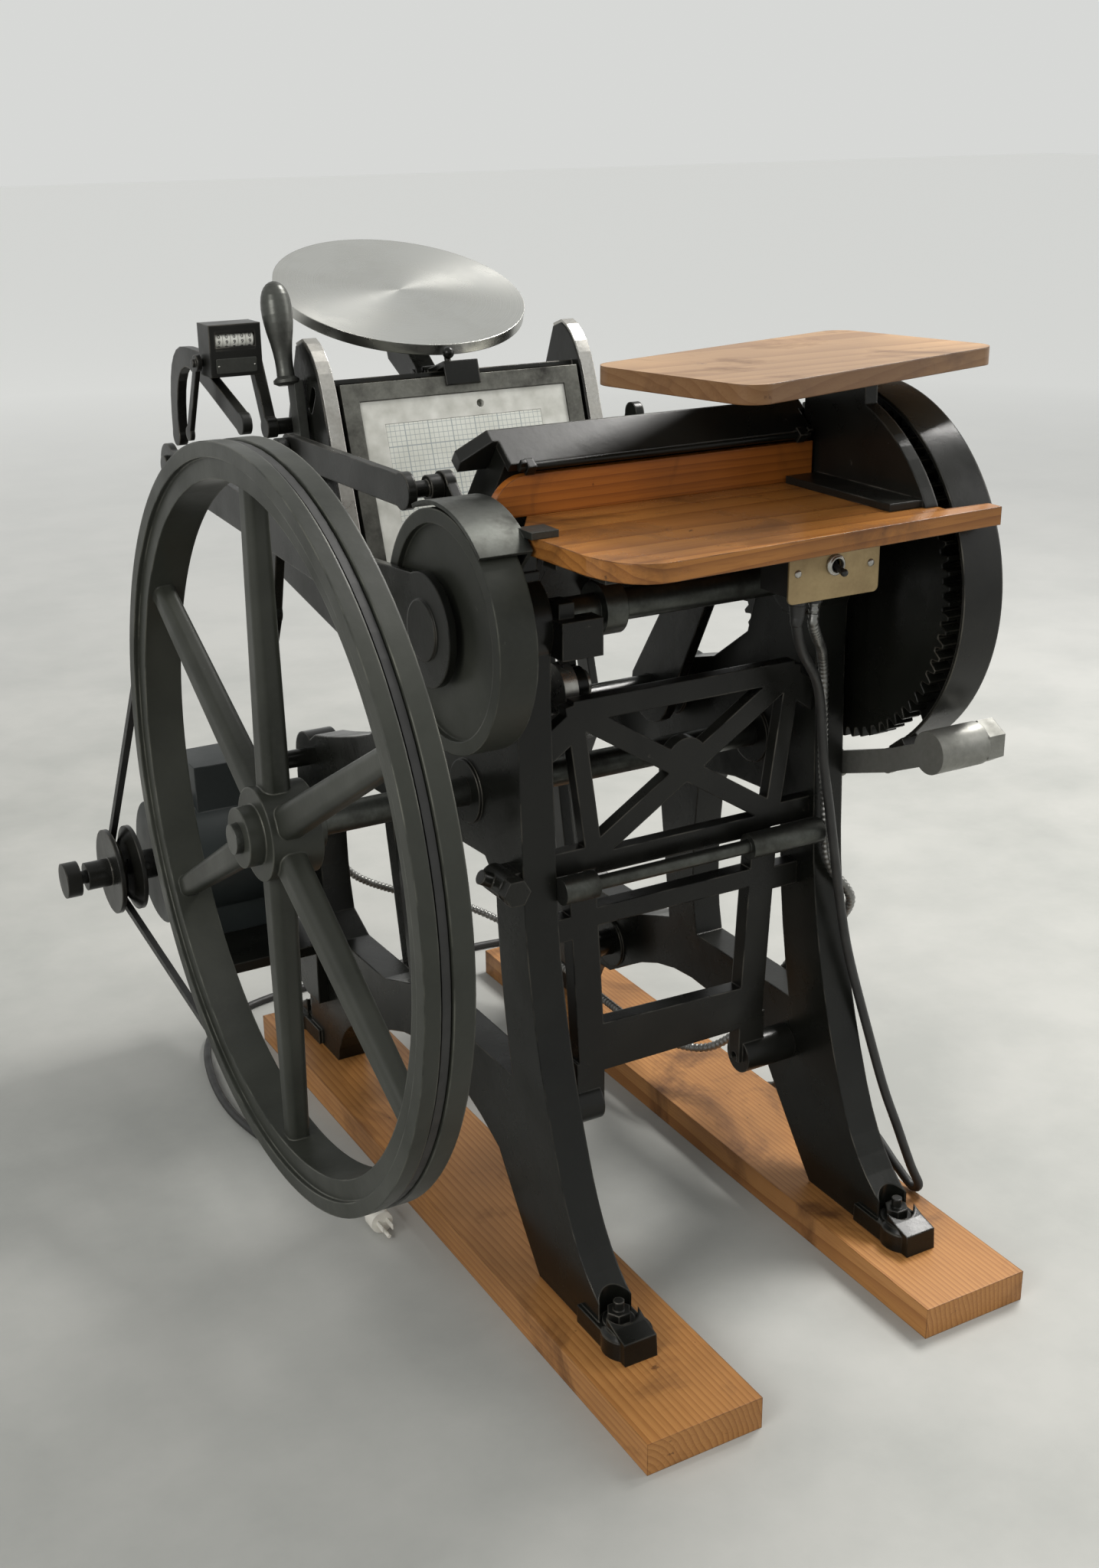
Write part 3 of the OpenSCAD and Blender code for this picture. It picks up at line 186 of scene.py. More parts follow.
def lathe_points(profile, centre, axis, around):
    """A profile of (radius, height) pairs turned about an axis through the centre."""
    axis = np.asarray(axis, float) / np.linalg.norm(axis)
    side = np.cross(axis, [0.31, 0.87, 0.39])
    side /= np.linalg.norm(side)
    up = np.cross(axis, side)
    profile = np.asarray(profile, float)
    angle = np.arange(around) * TAU / around
    ring = np.cos(angle)[None, :, None] * side + np.sin(angle)[None, :, None] * up
    points = np.asarray(centre) + profile[:, 0, None, None] * ring + profile[:, 1, None, None] * axis
    return points.reshape(-1, 3)


def lathe(name, profile, centre, axis, body, material, around=32):
    """A closed turned piece. The profile runs from the bottom to the top in millimetres."""
    points = at(lathe_points(profile, centre, axis, around))
    return make_piece(name, points, tube_faces(len(profile), around), body, material)


def join_parts(parts):
    """Several (points, faces) pairs as one."""
    points, faces, start = [], [], 0
    for part_points, part_faces in parts:
        points.append(part_points)
        faces += [[k + start for k in face] for face in part_faces]
        start += len(part_points)
    return np.vstack(points), faces


# %% [markdown]
# ## Materials
# Each finish is a small node tree. A class holds the tree and keeps the lines short: it adds
# a node and fills its sockets, mixes two colours, or maps a value from one span to another.

# %% Node helpers
class Finish:
    """A material that is being wired: it holds the tree, the shader and the coordinates."""

    def __init__(self, name, roughness=0.5, metallic=0.0):
        self.material = bpy.data.materials.new(name)
        self.material.use_nodes = True
        self.tree = self.material.node_tree
        self.shader = self.tree.nodes["Principled BSDF"]
        self.shader.inputs["Roughness"].default_value = roughness
        self.shader.inputs["Metallic"].default_value = metallic
        self.place = self.add("TexCoord").outputs["Object"]

    def add(self, kind, **sockets):
        """A node of a kind, with each named socket linked or set."""
        node = self.tree.nodes.new("ShaderNode" + kind)
        for name, value in sockets.items():
            self.join(value, node.inputs[name.replace("_", " ")])
        return node

    def join(self, value, socket):
        """Link an output to a socket, or set the socket's own value."""
        if isinstance(value, bpy.types.NodeSocket):
            self.tree.links.new(value, socket)
        else:
            socket.default_value = value

    def noise(self, scale, detail=4.0, distortion=0.0, stretch=(1, 1, 1), roughness=0.5):
        """Smooth random values in 0 to 1, stretched along the axes."""
        place = self.add("Mapping", Vector=self.place, Scale=stretch).outputs[0]
        node = self.add("TexNoise", Vector=place, Scale=scale, Detail=detail, Distortion=distortion)
        node.inputs["Roughness"].default_value = roughness
        return node.outputs["Fac"]

    def span(self, value, low, high, to_low=0.0, to_high=1.0):
        """A value mapped from one span to another and kept inside it."""
        node = self.add("MapRange", Value=value)
        for index, number in enumerate((low, high, to_low, to_high), start=1):
            node.inputs[index].default_value = number
        return node.outputs[0]

    def mix(self, factor, one, two):
        """A colour between two others."""
        node = self.tree.nodes.new("ShaderNodeMix")
        node.data_type = "RGBA"
        self.join(factor, node.inputs[0])
        self.join(colour(one), node.inputs[6])
        self.join(colour(two), node.inputs[7])
        return node.outputs[2]

    def math(self, operation, one, two=0.0):
        """One sum of two values."""
        node = self.tree.nodes.new("ShaderNodeMath")
        node.operation = operation
        self.join(one, node.inputs[0])
        self.join(two, node.inputs[1])
        return node.outputs[0]

    def vector(self, operation, one, two=(0, 0, 0)):
        """One vector sum, as a node."""
        node = self.tree.nodes.new("ShaderNodeVectorMath")
        node.operation = operation
        self.join(one, node.inputs[0])
        self.join(two, node.inputs[1])
        return node

    def rounded(self, radius):
        """The surface direction as if every edge were rounded by the radius, in metres."""
        node = self.add("Bevel", Radius=radius)
        node.samples = 6
        return node.outputs[0]

    def edges(self, soft_normal):
        """Near 1 on an edge and 0 on a flat: how far the rounded direction has turned."""
        flat = self.add("NewGeometry").outputs["Normal"]
        turned = self.vector("DOT_PRODUCT", soft_normal, flat).outputs["Value"]
        return self.span(turned, 0.995, 0.86)

    def bump(self, height, strength, distance=0.001, normal=None):
        """Small relief from a height."""
        node = self.add("Bump", Height=height, Strength=strength, Distance=distance)
        if normal is not None:
            self.join(normal, node.inputs["Normal"])
        return node.outputs[0]

    def done(self, base, roughness=None, normal=None, metallic=None):
        """Wire the results to the shader and give back the material."""
        self.join(colour(base), self.shader.inputs["Base Color"])
        for value, socket in ((roughness, "Roughness"), (normal, "Normal"), (metallic, "Metallic")):
            if value is not None:
                self.join(value, self.shader.inputs[socket])
        return self.material


def colour(value):
    """A colour with its alpha, or a socket as it is."""
    if isinstance(value, bpy.types.NodeSocket):
        return value
    return (*value[:3], 1.0)


# %% [markdown]
# ### Painted cast iron
# The castings are rough from the sand mould, painted black long ago and rubbed by hands and
# oil. The paint is dark olive black, glossier where it was wiped, and worn to grey metal on
# the edges. A Bevel node rounds the edges for the light and also tells us where they are.

# %% Cast iron
def iron(name, dark, light, worn, gloss, wear=0.7, grain=1.0):
    """Paint over sand-cast metal: a slow colour change, fine relief and rubbed edges."""
    f = Finish(name)
    soft = f.rounded(0.0028)
    slow = f.noise(7.0, detail=6.0, distortion=0.6)
    fine = f.noise(160.0, detail=5.0)
    rub = f.math("MULTIPLY", f.edges(soft), f.span(f.noise(23.0, detail=8.0), 0.42, 0.62))
    rub = f.math("MULTIPLY", rub, wear)
    chips = f.span(f.noise(55.0, detail=9.0, roughness=0.7), 0.68, 0.73)
    rub = f.math("MAXIMUM", rub, f.math("MULTIPLY", chips, 0.45 * wear))
    paint = f.mix(f.span(slow, 0.3, 0.7), dark, light)
    paint = f.mix(f.span(fine, 0.45, 0.75, 0.0, 0.25), paint, light)
    base = f.mix(rub, paint, worn)
    rough = f.span(f.noise(12.0, detail=7.0), 0.3, 0.7, gloss, gloss + 0.22)
    relief = f.math("ADD", f.math("MULTIPLY", fine, 0.35), f.noise(34.0, detail=3.0))
    normal = f.bump(relief, 0.22 * grain, 0.0012, soft)
    f.shader.inputs["Specular IOR Level"].default_value = 0.27
    return f.done(base, rough, normal, f.span(rub, 0.0, 1.0, 0.0, 0.65))


finishes = {}
finishes["black_iron"] = iron("black_iron", (0.0025, 0.0027, 0.0021), (0.008, 0.0084, 0.0066),
                              (0.13, 0.12, 0.1), 0.17)
finishes["dark_iron"] = iron("dark_iron", (0.0035, 0.0035, 0.003), (0.011, 0.011, 0.009),
                             (0.15, 0.14, 0.12), 0.2, 0.8, 0.7)
finishes["motor_paint"] = iron("motor_paint", (0.014, 0.017, 0.017), (0.026, 0.031, 0.031),
                               (0.2, 0.2, 0.2), 0.32, 0.5, 0.4)
wheel_iron = iron("wheel_iron", (0.017, 0.0185, 0.0145), (0.036, 0.038, 0.031),
                  (0.17, 0.17, 0.145), 0.3, 0.8, 0.8)
print("iron finishes:", len(finishes) + 1)

# %% [markdown]
# ### Bare metals
# Levers, rails and guards are bare or nearly so. Rubbed steel is never even: it has fine
# scratches, darker oil and a few rust-brown spots in its low places.

# %% Steel
def steel(name, bright, dull, rough, stretch=(1, 1, 1), stain=0.5, metallic=0.9):
    """Bare metal with scratches drawn out along one axis and stains in slow patches."""
    f = Finish(name, metallic=metallic)
    soft = f.rounded(0.0012)
    patches = f.span(f.noise(16.0, detail=8.0, roughness=0.65), 0.4, 0.66)
    lines = f.noise(240.0, detail=3.0, stretch=stretch)
    base = f.mix(f.math("MULTIPLY", patches, stain), bright, dull)
    base = f.mix(f.span(lines, 0.3, 0.7, 0.0, 0.2), base, dull)
    gloss = f.span(patches, 0.0, 1.0, rough, rough + 0.25)
    return f.done(base, gloss, f.bump(lines, 0.06, 0.0005, soft))


finishes["bright_steel"] = steel("bright_steel", (0.5, 0.49, 0.46), (0.1, 0.09, 0.07), 0.22)
finishes["guard_steel"] = steel("guard_steel", (0.09, 0.094, 0.085), (0.026, 0.026, 0.022), 0.32, stain=0.9)
finishes["lockup_steel"] = steel("lockup_steel", (0.2, 0.2, 0.18), (0.05, 0.047, 0.04), 0.32, stain=0.9)
chase_steel = steel("chase_steel", (0.17, 0.17, 0.15), (0.022, 0.021, 0.018), 0.3, stain=1.0, metallic=0.75)
zinc_steel = steel("zinc_steel", (0.26, 0.26, 0.24), (0.12, 0.12, 0.105), 0.4, stain=0.7, metallic=0.7)
finishes["cover_plate"] = steel("cover_plate", (0.36, 0.27, 0.14), (0.2, 0.14, 0.07), 0.36,
                                (1, 30, 1), 0.6, 0.6)
lever_steel = steel("lever_steel", (0.075, 0.078, 0.07), (0.03, 0.03, 0.026), 0.3, stain=0.9, metallic=0.6)

# %% [markdown]
# ### The ink disk
# The disk was turned flat on a lathe, so its scratches are circles round its centre. Light
# then gathers in two bright fans. An anisotropic shader does that when its tangent runs
# round the circle, which is the cross product of the disk's axis and the way to the centre.

# %% Turned disk
DISK_TILT = math.radians(19)
disk_axis = np.array([0.0, -math.sin(DISK_TILT), math.cos(DISK_TILT)])
DISK_PLACE = [0, 1015, 1054]
disk_centre = at(DISK_PLACE)


def turned_disk():
    """Rings of faint scratches round the disk's axis, a soft sheen and light brown stains."""
    f = Finish("disk_steel", roughness=0.3, metallic=1.0)
    f.shader.inputs["Anisotropic"].default_value = 0.72
    away = f.vector("SUBTRACT", f.place, tuple(disk_centre)).outputs[0]
    round_it = f.vector("CROSS_PRODUCT", tuple(disk_axis), away).outputs[0]
    f.join(f.vector("NORMALIZE", round_it).outputs[0], f.shader.inputs["Tangent"])
    distance = f.vector("LENGTH", away).outputs["Value"]
    rings = f.add("TexNoise", Vector=f.add("CombineXYZ", X=distance).outputs[0], Scale=900.0, Detail=3.0)
    stains = f.span(f.noise(11.0, detail=7.0, roughness=0.6), 0.45, 0.75)
    base = f.mix(f.span(rings.outputs["Fac"], 0.3, 0.7), (0.52, 0.52, 0.495), (0.63, 0.63, 0.6))
    base = f.mix(f.math("MULTIPLY", stains, 0.3), base, (0.38, 0.37, 0.33))
    return f.done(base, f.span(stains, 0.0, 1.0, 0.25, 0.32), f.rounded(0.0015))


finishes["disk_steel"] = turned_disk()

# %% [markdown]
# ### Wood
# A board is cut from a round trunk. If we imagine the trunk's axis and count rings by their
# distance from it, long stripes appear along the board and arcs on its sawn ends without any
# further work. A little noise along the axis keeps the rings from being perfect.

# %% Wood grain
def wood(name, colours, along, axis_place, rings, gloss, stain_from=0.5, wear=0.6, side_shade=0.0):
    """Rings about an axis line: the ring number is the distance from the axis, bent by noise.
    Colours are the early wood, the late wood and the stain, and along is the grain's axis. The stain colour
    also serves as painted shade on the upright sides, and the last argument sets how strong that painted
    side shade is."""
    light, dark, stain = colours
    f = Finish(name)
    soft = f.rounded(0.002)
    stretch = tuple(0.07 if k == along else 1.0 for k in range(3))
    keep = tuple(0.0 if k == along else 1.0 for k in range(3))
    moved = f.vector("SUBTRACT", f.place, tuple(axis_place)).outputs[0]
    flat = f.vector("MULTIPLY", moved, keep).outputs[0]
    bend = f.noise(9.0, detail=3.0, stretch=stretch)
    distance = f.math("ADD", f.vector("LENGTH", flat).outputs["Value"], f.math("MULTIPLY", bend, 0.03))
    ring = f.math("FRACT", f.math("MULTIPLY", distance, rings))
    late = f.math("POWER", ring, 2.2)
    pores = f.noise(420.0, detail=3.0, stretch=tuple(0.04 if k == along else 1.0 for k in range(3)))
    base = f.mix(f.span(late, 0.0, 1.0, 0.0, 0.8), light, dark)
    base = f.mix(f.span(pores, 0.5, 0.72, 0.0, 0.4), base, dark)
    dirt = f.span(f.noise(6.5, detail=7.0, distortion=0.8, roughness=0.6), stain_from, stain_from + 0.17)
    base = f.mix(f.math("MULTIPLY", dirt, 0.85), base, stain)
    spots = f.span(f.noise(38.0, detail=6.0, roughness=0.7), 0.66, 0.7, 0.0, 0.7)
    base = f.mix(spots, base, stain)
    blotch = f.span(f.noise(3.2, detail=4.0, distortion=0.5), 0.4, 0.62, 0.0, 0.42)
    base = f.mix(blotch, base, stain)
    # Painted shade: faces that stand upright, such as the boards' sides, are mixed towards the stain
    # colour, more the more level their normal lies.
    facing = f.add("SeparateXYZ", Vector=f.add("NewGeometry").outputs["Normal"])
    upright = f.math("ABSOLUTE", facing.outputs["Z"])
    base = f.mix(f.math("MULTIPLY", f.span(upright, 0.9, 0.3), side_shade), base, stain)
    rim = f.math("MULTIPLY", f.edges(soft), f.span(f.noise(30.0, detail=6.0), 0.35, 0.6))
    base = f.mix(f.math("MULTIPLY", rim, wear), base, stain)
    relief = f.math("ADD", f.math("MULTIPLY", pores, 0.6), f.math("MULTIPLY", late, 0.3))
    rough = f.span(dirt, 0.0, 1.0, gloss, gloss + 0.16)
    f.shader.inputs["Specular IOR Level"].default_value = 0.3
    return f.done(base, rough, f.bump(relief, 0.2, 0.0006, soft))


ALONG_X = 0
ALONG_Y = 1
board_wood = wood("board_wood", [(0.42, 0.175, 0.04), (0.22, 0.076, 0.015), (0.045, 0.017, 0.006)],
                  ALONG_X, at([0, 260, 700]), 95.0, 0.26, 0.5, 0.85, 0.3)
feed_wood = wood("feed_wood", [(0.42, 0.245, 0.11), (0.27, 0.135, 0.05), (0.08, 0.033, 0.011)],
                 ALONG_X, at([0, 420, 640]), 90.0, 0.33, 0.56, 0.9, 0.62)
lip_wood = wood("lip_wood", [(0.36, 0.115, 0.018), (0.2, 0.056, 0.009), (0.04, 0.014, 0.005)],
                ALONG_X, at([0, 300, 760]), 110.0, 0.28, 0.55, 0.8)
pine_wood = wood("pine_wood", [(0.42, 0.2, 0.062), (0.24, 0.09, 0.023), (0.07, 0.026, 0.009)],
                 ALONG_Y, at([-330, 0, -60]), 150.0, 0.4, 0.56, 0.8)
finishes["maple"] = board_wood
finishes["pine"] = pine_wood
print("wooden finishes: 4")

# %% [markdown]
# ### Small finishes
# Rubber and moulded parts only need a quiet colour and a little unevenness. The printing
# base under the type has a fine printed grid: thin lines every 6.5 mm along two axes and
# broader ones every 32.5 mm.

# %% Plastic, rubber and the printed base
def plain(name, one, two, rough, bump=0.1, metallic=0.0):
    """A nearly even colour with slow variation and fine relief."""
    f = Finish(name, metallic=metallic)
    soft = f.rounded(0.0008)
    base = f.mix(f.span(f.noise(40.0, detail=6.0), 0.3, 0.7), one, two)
    gloss = f.span(f.noise(70.0), 0.3, 0.7, rough, rough + 0.15)
    return f.done(base, gloss, f.bump(f.noise(300.0), bump, 0.0004, soft))


BED_LEAN = math.radians(18)
BED_MIDDLE = [0, 822, 843]


def printed_base():
    """Light metal with grey lines where the distance across or up the bed is a whole step."""
    f = Finish("form_print", metallic=0.2)
    moved = f.vector("SUBTRACT", f.place, tuple(at(BED_MIDDLE))).outputs[0]
    across = f.vector("DOT_PRODUCT", moved, (1, 0, 0)).outputs["Value"]
    up = f.vector("DOT_PRODUCT", moved, (0, math.sin(BED_LEAN), math.cos(BED_LEAN))).outputs["Value"]
    lines = None
    for step, width in ((0.0065, 0.1), (0.0325, 0.045)):
        for value in (across, up):
            place_in_step = f.math("FRACT", f.math("DIVIDE", f.math("ADD", value, 1.0), step))
            line = f.math("LESS_THAN", place_in_step, width)
            lines = line if lines is None else f.math("MAXIMUM", lines, line)
    dirt = f.span(f.noise(30.0, detail=6.0), 0.4, 0.75, 0.0, 0.4)
    base = f.mix(dirt, (0.62, 0.63, 0.58), (0.42, 0.42, 0.36))
    return f.done(f.mix(f.math("MULTIPLY", lines, 0.7), base, (0.2, 0.24, 0.26)), 0.4)


finishes["rubber"] = plain("rubber", (0.010, 0.010, 0.0095), (0.02, 0.02, 0.019), 0.42)
finishes["switch_black"] = plain("switch_black", (0.009, 0.009, 0.009), (0.018, 0.017, 0.016), 0.35)
finishes["plug_white"] = plain("plug_white", (0.68, 0.66, 0.6), (0.52, 0.5, 0.45), 0.4)
finishes["wheel_white"] = plain("wheel_white", (0.72, 0.72, 0.67), (0.55, 0.55, 0.5), 0.45)
finishes["flex_steel"] = plain("flex_steel", (0.3, 0.3, 0.29), (0.13, 0.13, 0.12), 0.3, metallic=0.85)
finishes["form_print"] = printed_base()
print("finishes:", len(finishes))

# %% [markdown]
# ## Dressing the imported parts
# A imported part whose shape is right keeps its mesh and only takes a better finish: the one
# named by its slot in the record. A few parts have a finish of their own.

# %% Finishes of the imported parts
own_finish = {
    "flywheel": wheel_iron,
    "chase_clamp": finishes["black_iron"],
    "gripper_bar": finishes["black_iron"],
    "chase": chase_steel,
    "furniture": plain("furniture_pale", (0.6, 0.6, 0.56), (0.4, 0.4, 0.36), 0.42),
    "guard_stay": zinc_steel,
    "crank_disc": wheel_iron,
    "disc_guard": finishes["guard_steel"],
    "throw_lever": lever_steel,
    "feed_board": feed_wood,
    "board_lip": lip_wood,
}
for part in frame["record"]["subparts"]:
    node = frame["nodes"][part["node"]]
    finish = own_finish.get(part["node"], finishes[part["material_slot"]])
    for material_slot in node.material_slots:
        material_slot.material = finish
print("parts with a finish of their own:", len(own_finish))

# %% [markdown]
# ## The supply cord
# A black rubber lead comes out of the switch box, hangs in front of the right leg and comes
# down to the runner's edge. From there it goes back beside the runner, round behind the press
# and forward on the left to its plug. Its points repeat the model's route. A moulded sleeve
# that grows thinner along the lead keeps it from kinking where it leaves the box.

# %% Supply cord
CORD_DIAMETER = 11.0
FLOOR_Z = CORD_DIAMETER / 2 + 0.4
PLUG_Z = 14.2
GLAND_Z = 799.0
cord_route = np.array([
    [67, 224, GLAND_Z], [67, 224, GLAND_Z - 12], [67, 224, GLAND_Z - 24], [84, 236, 744], [135, 270, 684],
    [158, 283, 587], [168, 283, 535], [176, 281, 483], [190, 281, 408], [201, 274, 342], [220, 253, 244],
    [233, 236, 177], [244, 221, 130], [256, 206, 80], [264, 198, 54], [265, 212, 45], [261, 240, 62],
    [257, 275, 86], [254, 312, 98], [250, 352, 96], [252, 400, 76], [262, 450, 50], [275, 490, 42],
    [283, 526, 20], [283, 566, FLOOR_Z], [280, 700, FLOOR_Z], [281, 850, FLOOR_Z], [284, 1000, FLOOR_Z],
    [273, 1092, FLOOR_Z], [205, 1136, FLOOR_Z], [110, 1148, FLOOR_Z], [0, 1152, FLOOR_Z],
    [-200, 1148, FLOOR_Z], [-300, 1100, FLOOR_Z], [-350, 1010, FLOOR_Z], [-370, 860, FLOOR_Z],
    [-340, 700, FLOOR_Z], [-308, 596, 9], [-307, 574, PLUG_Z], [-307, 546, PLUG_Z]])
cord_path = at(smooth_path(cord_route, 8))
CORD_SIDES = 16
power_cord = make_piece("supply_cord", tube_points(cord_path, CORD_DIAMETER / 2 * MM, CORD_SIDES),
                        tube_faces(len(cord_path), CORD_SIDES), "frame", finishes["rubber"])
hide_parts("power_cord")

# %% Strain relief
SLEEVE_POINTS = 16
SLEEVE_TOP_RADIUS = 9.0
SLEEVE_RIDGE = 0.45
SLEEVE_SIDES = 24
sleeve_path = cord_path[:SLEEVE_POINTS]
sleeve_radius = np.linspace(SLEEVE_TOP_RADIUS, CORD_DIAMETER / 2 + 0.5, SLEEVE_POINTS)
sleeve_radius[1:-1:2] += SLEEVE_RIDGE
make_piece("cord_sleeve", tube_points(sleeve_path, sleeve_radius * MM, SLEEVE_SIDES),
           tube_faces(SLEEVE_POINTS, SLEEVE_SIDES), "frame", finishes["rubber"])

# %% [markdown]
# ## The metal conduit
# The second line from the switch is a wound metal conduit. Its wall rises and falls with
# each turn of the strip, so the tube's radius follows a wave along its length.

# %% Ribbed conduit
CONDUIT_DIAMETER = 12.0
RIB_PITCH = 6.5
conduit_route = np.array([
    [88, 224, GLAND_Z], [88, 224, GLAND_Z - 12], [88, 224, GLAND_Z - 24], [112, 246, 750], [146, 282, 724],
    [166, 302, 690], [171, 305, 640], [173, 305, 590], [177, 303, 545], [178, 301, 505], [181, 299, 468],
    [190, 297, 445], [206, 296, 425], [218, 298, 405], [222, 312, 380], [223, 345, 345], [223, 392, 300],
    [222, 430, 250], [220, 468, 190], [214, 504, 136], [190, 536, 102], [165, 574, 94], [150, 640, 92],
    [150, 780, 90], [146, 900, 96], [120, 980, 120], [60, 1030, 150], [-20, 1046, 180], [-90, 1046, 220],
    [-130, 1045, 268], [-160, 1045, 300], [-186, 1045, 310]])


def even_path(path, step):
    """The same path with points an even step apart, by interpolating along its length."""
    along = np.concatenate([[0.0], np.cumsum(np.linalg.norm(np.diff(path, axis=0), axis=1))])
    stations = np.arange(0.0, along[-1], step)
    return np.stack([np.interp(stations, along, path[:, k]) for k in range(3)], axis=1)


RINGS_PER_RIB = 6
RIB_HEIGHT = 0.55
CONDUIT_SIDES = 12
conduit_line = even_path(smooth_path(conduit_route, 12), RIB_PITCH / RINGS_PER_RIB)
rib_wave = np.sin(np.arange(len(conduit_line)) * TAU / RINGS_PER_RIB)
conduit_radius = (CONDUIT_DIAMETER / 2 - RIB_HEIGHT + RIB_HEIGHT * rib_wave) * MM
conduit = (tube_points(at(conduit_line), conduit_radius, CONDUIT_SIDES),
           tube_faces(len(conduit_line), CONDUIT_SIDES))
NUT = [(7.5, -12), (11, -11), (11, 0), (11.5, 1), (11.5, 3), (8, 4)]
NUT_PLACE = [-188, 1045, 310]
NUT_SIDES = 24
conduit_nut = (at(lathe_points(NUT, NUT_PLACE, [-1, 0, 0], NUT_SIDES)), tube_faces(len(NUT), NUT_SIDES))
points, faces = join_parts([conduit, conduit_nut])
metal_conduit = make_piece("ribbed_conduit", points, faces, "frame", finishes["flex_steel"])
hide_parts("metal_conduit")
print("rings along the conduit:", len(conduit_line))

# %% [markdown]
# ## Small fittings
# The switch's cover plate is held by two domed screws, and its toggle works inside a threaded
# bush with a nut. The counter's wheels carry the plain digits 0 to 9, one wheel for each place.
# A bare label plate is riveted under the window. All are small, but they say what the parts
# are for. The digits could be a picture on the wheels, but as raised shapes they stay sharp.

# %% Switch plate fittings
PLATE_FRONT = 195.0
SCREW_HEAD = [(0.2, 2.2), (2.2, 2.0), (3.6, 1.2), (4.2, 0.0), (4.2, -1.0), (0.2, -1.0)]
SCREW_PLACES = ((44.0, 840.0), (136.0, 840.0))
TO_THE_FRONT = [0, -1, 0]
bright_steel = finishes["bright_steel"]
for number, (screw_x, screw_z) in enumerate(SCREW_PLACES, start=1):
    lathe(f"plate_screw_{number}", SCREW_HEAD[::-1], [screw_x, PLATE_FRONT, screw_z], TO_THE_FRONT,
          "frame", bright_steel, 24)


def ring_points(profile, centre, axis, around):
    """A closed profile turned about an axis, for a ring with a hole: rows and columns both close."""
    faces = grid_faces(len(profile), around, closed_rows=True)
    return at(lathe_points(profile, centre, axis, around)), faces


BUSH = [(7.2, -0.5), (11.0, -0.5), (11.0, 2.6), (9.6, 3.4), (9.0, 3.4), (9.0, 5.4), (7.2, 5.4)]
bush_points, bush_faces = ring_points(BUSH, [90, PLATE_FRONT, 844], TO_THE_FRONT, 32)
make_piece("toggle_bush", bush_points, bush_faces, "frame", bright_steel)
print("screws on the switch plate:", len(SCREW_PLACES))

# %% Counter digits
DIGIT_HEIGHT = 5.0
WHEEL_COUNT = 5
FIRST_DIGIT_TURN = math.radians(24)
digit_black = plain("digit_black", (0.012, 0.012, 0.012), (0.02, 0.02, 0.02), 0.5)


def digit_mesh(text):
    """One digit as the points and faces of a plate 0.7 mm thick, in the plane of x and y."""
    curve = bpy.data.curves.new("digit", "FONT")
    curve.body = text
    curve.align_x, curve.align_y = "CENTER", "CENTER"
    curve.size = DIGIT_HEIGHT * 1.4
    curve.extrude = 0.35
    curve.resolution_u = 2
    holder = bpy.data.objects.new("digit", curve)
    mesh = bpy.data.meshes.new_from_object(holder)
    points = np.array([v.co[:] for v in mesh.vertices])
    faces = [list(p.vertices) for p in mesh.polygons]
    bpy.data.objects.remove(holder)
    bpy.data.curves.remove(curve)
    bpy.data.meshes.remove(mesh)
    return points, faces


def plate_part(centre, half_x, half_z, corner, thick, steps=6):
    """A flat plate that faces -y: the outline is a rectangle whose corners are quarter circles,
    (cx + r cos a, cz + r sin a), and it is carried from the back of the plate to its front."""
    turns = np.concatenate([np.linspace(k, k + 1, steps) for k in range(4)]) * TAU / 4
    sides = np.repeat([[1, 1], [-1, 1], [-1, -1], [1, -1]], steps, axis=0)
    middle = sides * [half_x - corner, half_z - corner]
    outline = middle + corner * np.stack([np.cos(turns), np.sin(turns)], axis=1)
    rows = []
    for inset, depth in ((0.0, 0.0), (0.0, -thick * 0.7), (0.4, -thick)):
        shrink = 1 - inset / np.array([half_x, half_z])
        flat = outline * shrink
        rows.append(np.stack([flat[:, 0], np.full(len(flat), depth), flat[:, 1]], axis=1) + centre)
    return at(np.vstack(rows)), tube_faces(len(rows), len(outline))


box_low, box_high = [(np.array(c) - shift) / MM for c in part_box("counter_box")]
label_place = np.array([(box_low[0] + box_high[0]) / 2, box_low[1], box_low[2] + 13.0])
points, faces = plate_part(label_place, half_x=26.0, half_z=9.0, corner=2.0, thick=0.9)
make_piece("counter_label", points, faces, "bed", lever_steel, smooth=False)
RIVET = [(0.2, -0.4), (1.4, -0.4), (1.4, 0.2), (0.9, 0.8), (0.2, 1.0)]
for number, rivet_x in enumerate((-23.0, 23.0), start=1):
    lathe(f"label_rivet_{number}", RIVET, label_place + [rivet_x, -0.9, 0], TO_THE_FRONT,
          "bed", bright_steel, 12)

digit_shapes = [digit_mesh(str(k)) for k in range(10)]
for number in range(1, WHEEL_COUNT + 1):
    low, high = [(np.array(c) - shift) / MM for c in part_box(f"counter_wheel_{number}")]
    middle = (low + high) / 2
    radius = (high[2] - low[2]) / 2
    parts = []
    for k, (points, faces) in enumerate(digit_shapes):
        angle = k * TAU / 10 + FIRST_DIGIT_TURN + points[:, 1] / radius
        reach = radius + points[:, 2]
        wrapped = np.stack([points[:, 0], -reach * np.cos(angle), reach * np.sin(angle)], axis=1)
        parts.append((at(middle + wrapped), faces))
    points, faces = join_parts(parts)
    make_piece(f"wheel_digits_{number}", points, faces, f"counter_wheel_{number}",
               digit_black, smooth=False)
print("wheels with digits:", WHEEL_COUNT)

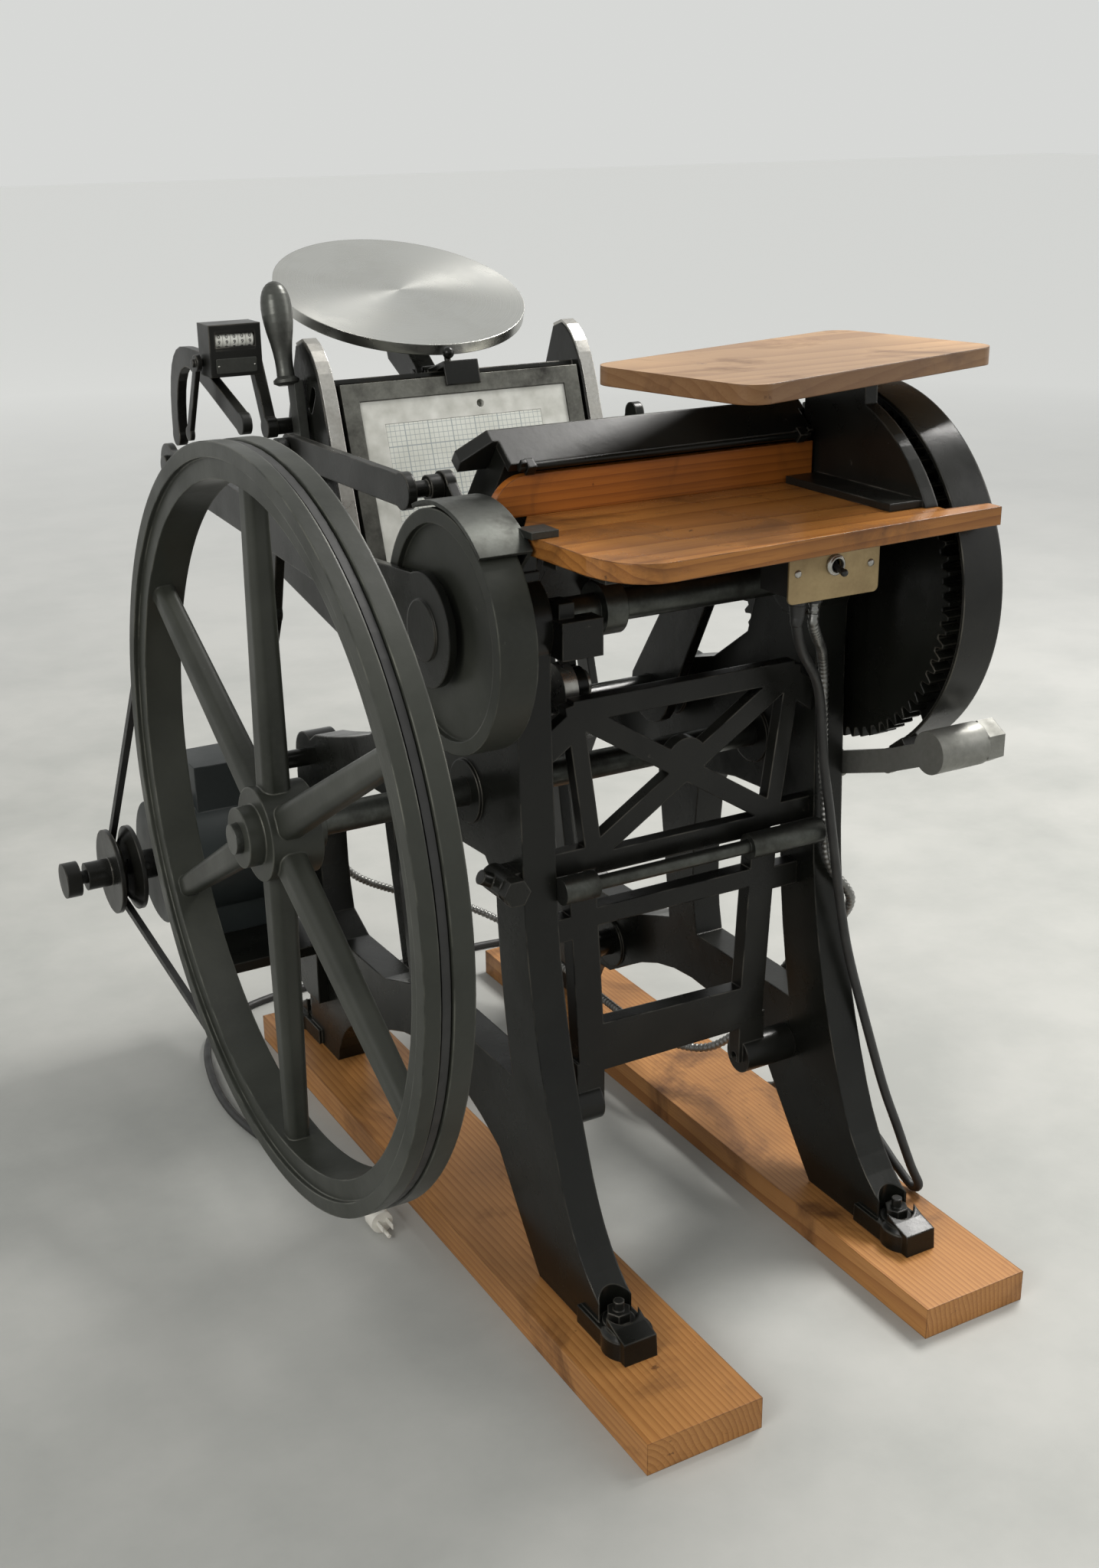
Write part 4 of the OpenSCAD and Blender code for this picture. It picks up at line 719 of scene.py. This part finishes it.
# %% [markdown]
# ## Floor and light
# The floor is plain and pale, and grows paler far off so that it meets the wall tone of the
# world without a line. The main light is above and to the right, so the shadows fall to the
# left and front. Two weaker lights at the sides keep the edges of the black castings.

# %% Floor
def floor_finish():
    """Pale matt concrete with slow, faint patches."""
    f = Finish("floor", roughness=0.75)
    patches = f.span(f.noise(2.6, detail=12.0, roughness=0.62), 0.38, 0.64)
    near = f.mix(patches, (0.4, 0.4, 0.38), (0.33, 0.335, 0.318))
    away = f.vector("LENGTH", f.place).outputs["Value"]
    return f.done(f.mix(f.span(away, 1.6, 7.0), near, (0.96, 0.96, 0.95)))


FLOOR_HALF = 30.0
corners = np.array([[-1, -1, 0], [1, -1, 0], [1, 1, 0], [-1, 1, 0]]) * FLOOR_HALF
make_piece("floor", corners, [[0, 1, 2, 3]], None, floor_finish(), smooth=False)


# %% Lights
def soft_light(name, place, aim, size, power, tint=(1.0, 0.98, 0.95)):
    """A square area light at a place in metres that faces the aim."""
    data = bpy.data.lights.new(name, "AREA")
    data.size = size
    data.energy = power
    data.color = tint
    lamp = bpy.data.objects.new(name, data)
    back = np.array(place, float) - np.array(aim, float)
    back /= np.linalg.norm(back)
    right = np.cross([0.0, 0.0, 1.0], back)
    right /= np.linalg.norm(right)
    turn = np.eye(4)
    turn[:3, 0], turn[:3, 1], turn[:3, 2], turn[:3, 3] = right, np.cross(back, right), back, place
    lamp.matrix_world = turn.T.tolist()
    bpy.context.scene.collection.objects.link(lamp)


soft_light("key", (1.9, 0.35, 3.0), (0, 0, 0.6), 1.0, 112)
soft_light("window", (-3.2, -1.6, 2.3), (0, 0, 0.6), 1.8, 60)
soft_light("right_fill", (3.2, -1.2, 1.9), (0, 0, 0.6), 1.8, 34)
print("lights:", len(bpy.data.lights))
world = bpy.data.worlds.new("world")
world.use_nodes = True
world.node_tree.nodes["Background"].inputs[0].default_value = (0.92, 0.93, 0.91, 1)
world.node_tree.nodes["Background"].inputs[1].default_value = 0.74
bpy.context.scene.world = world
bpy.context.scene.view_settings.view_transform = "Standard"
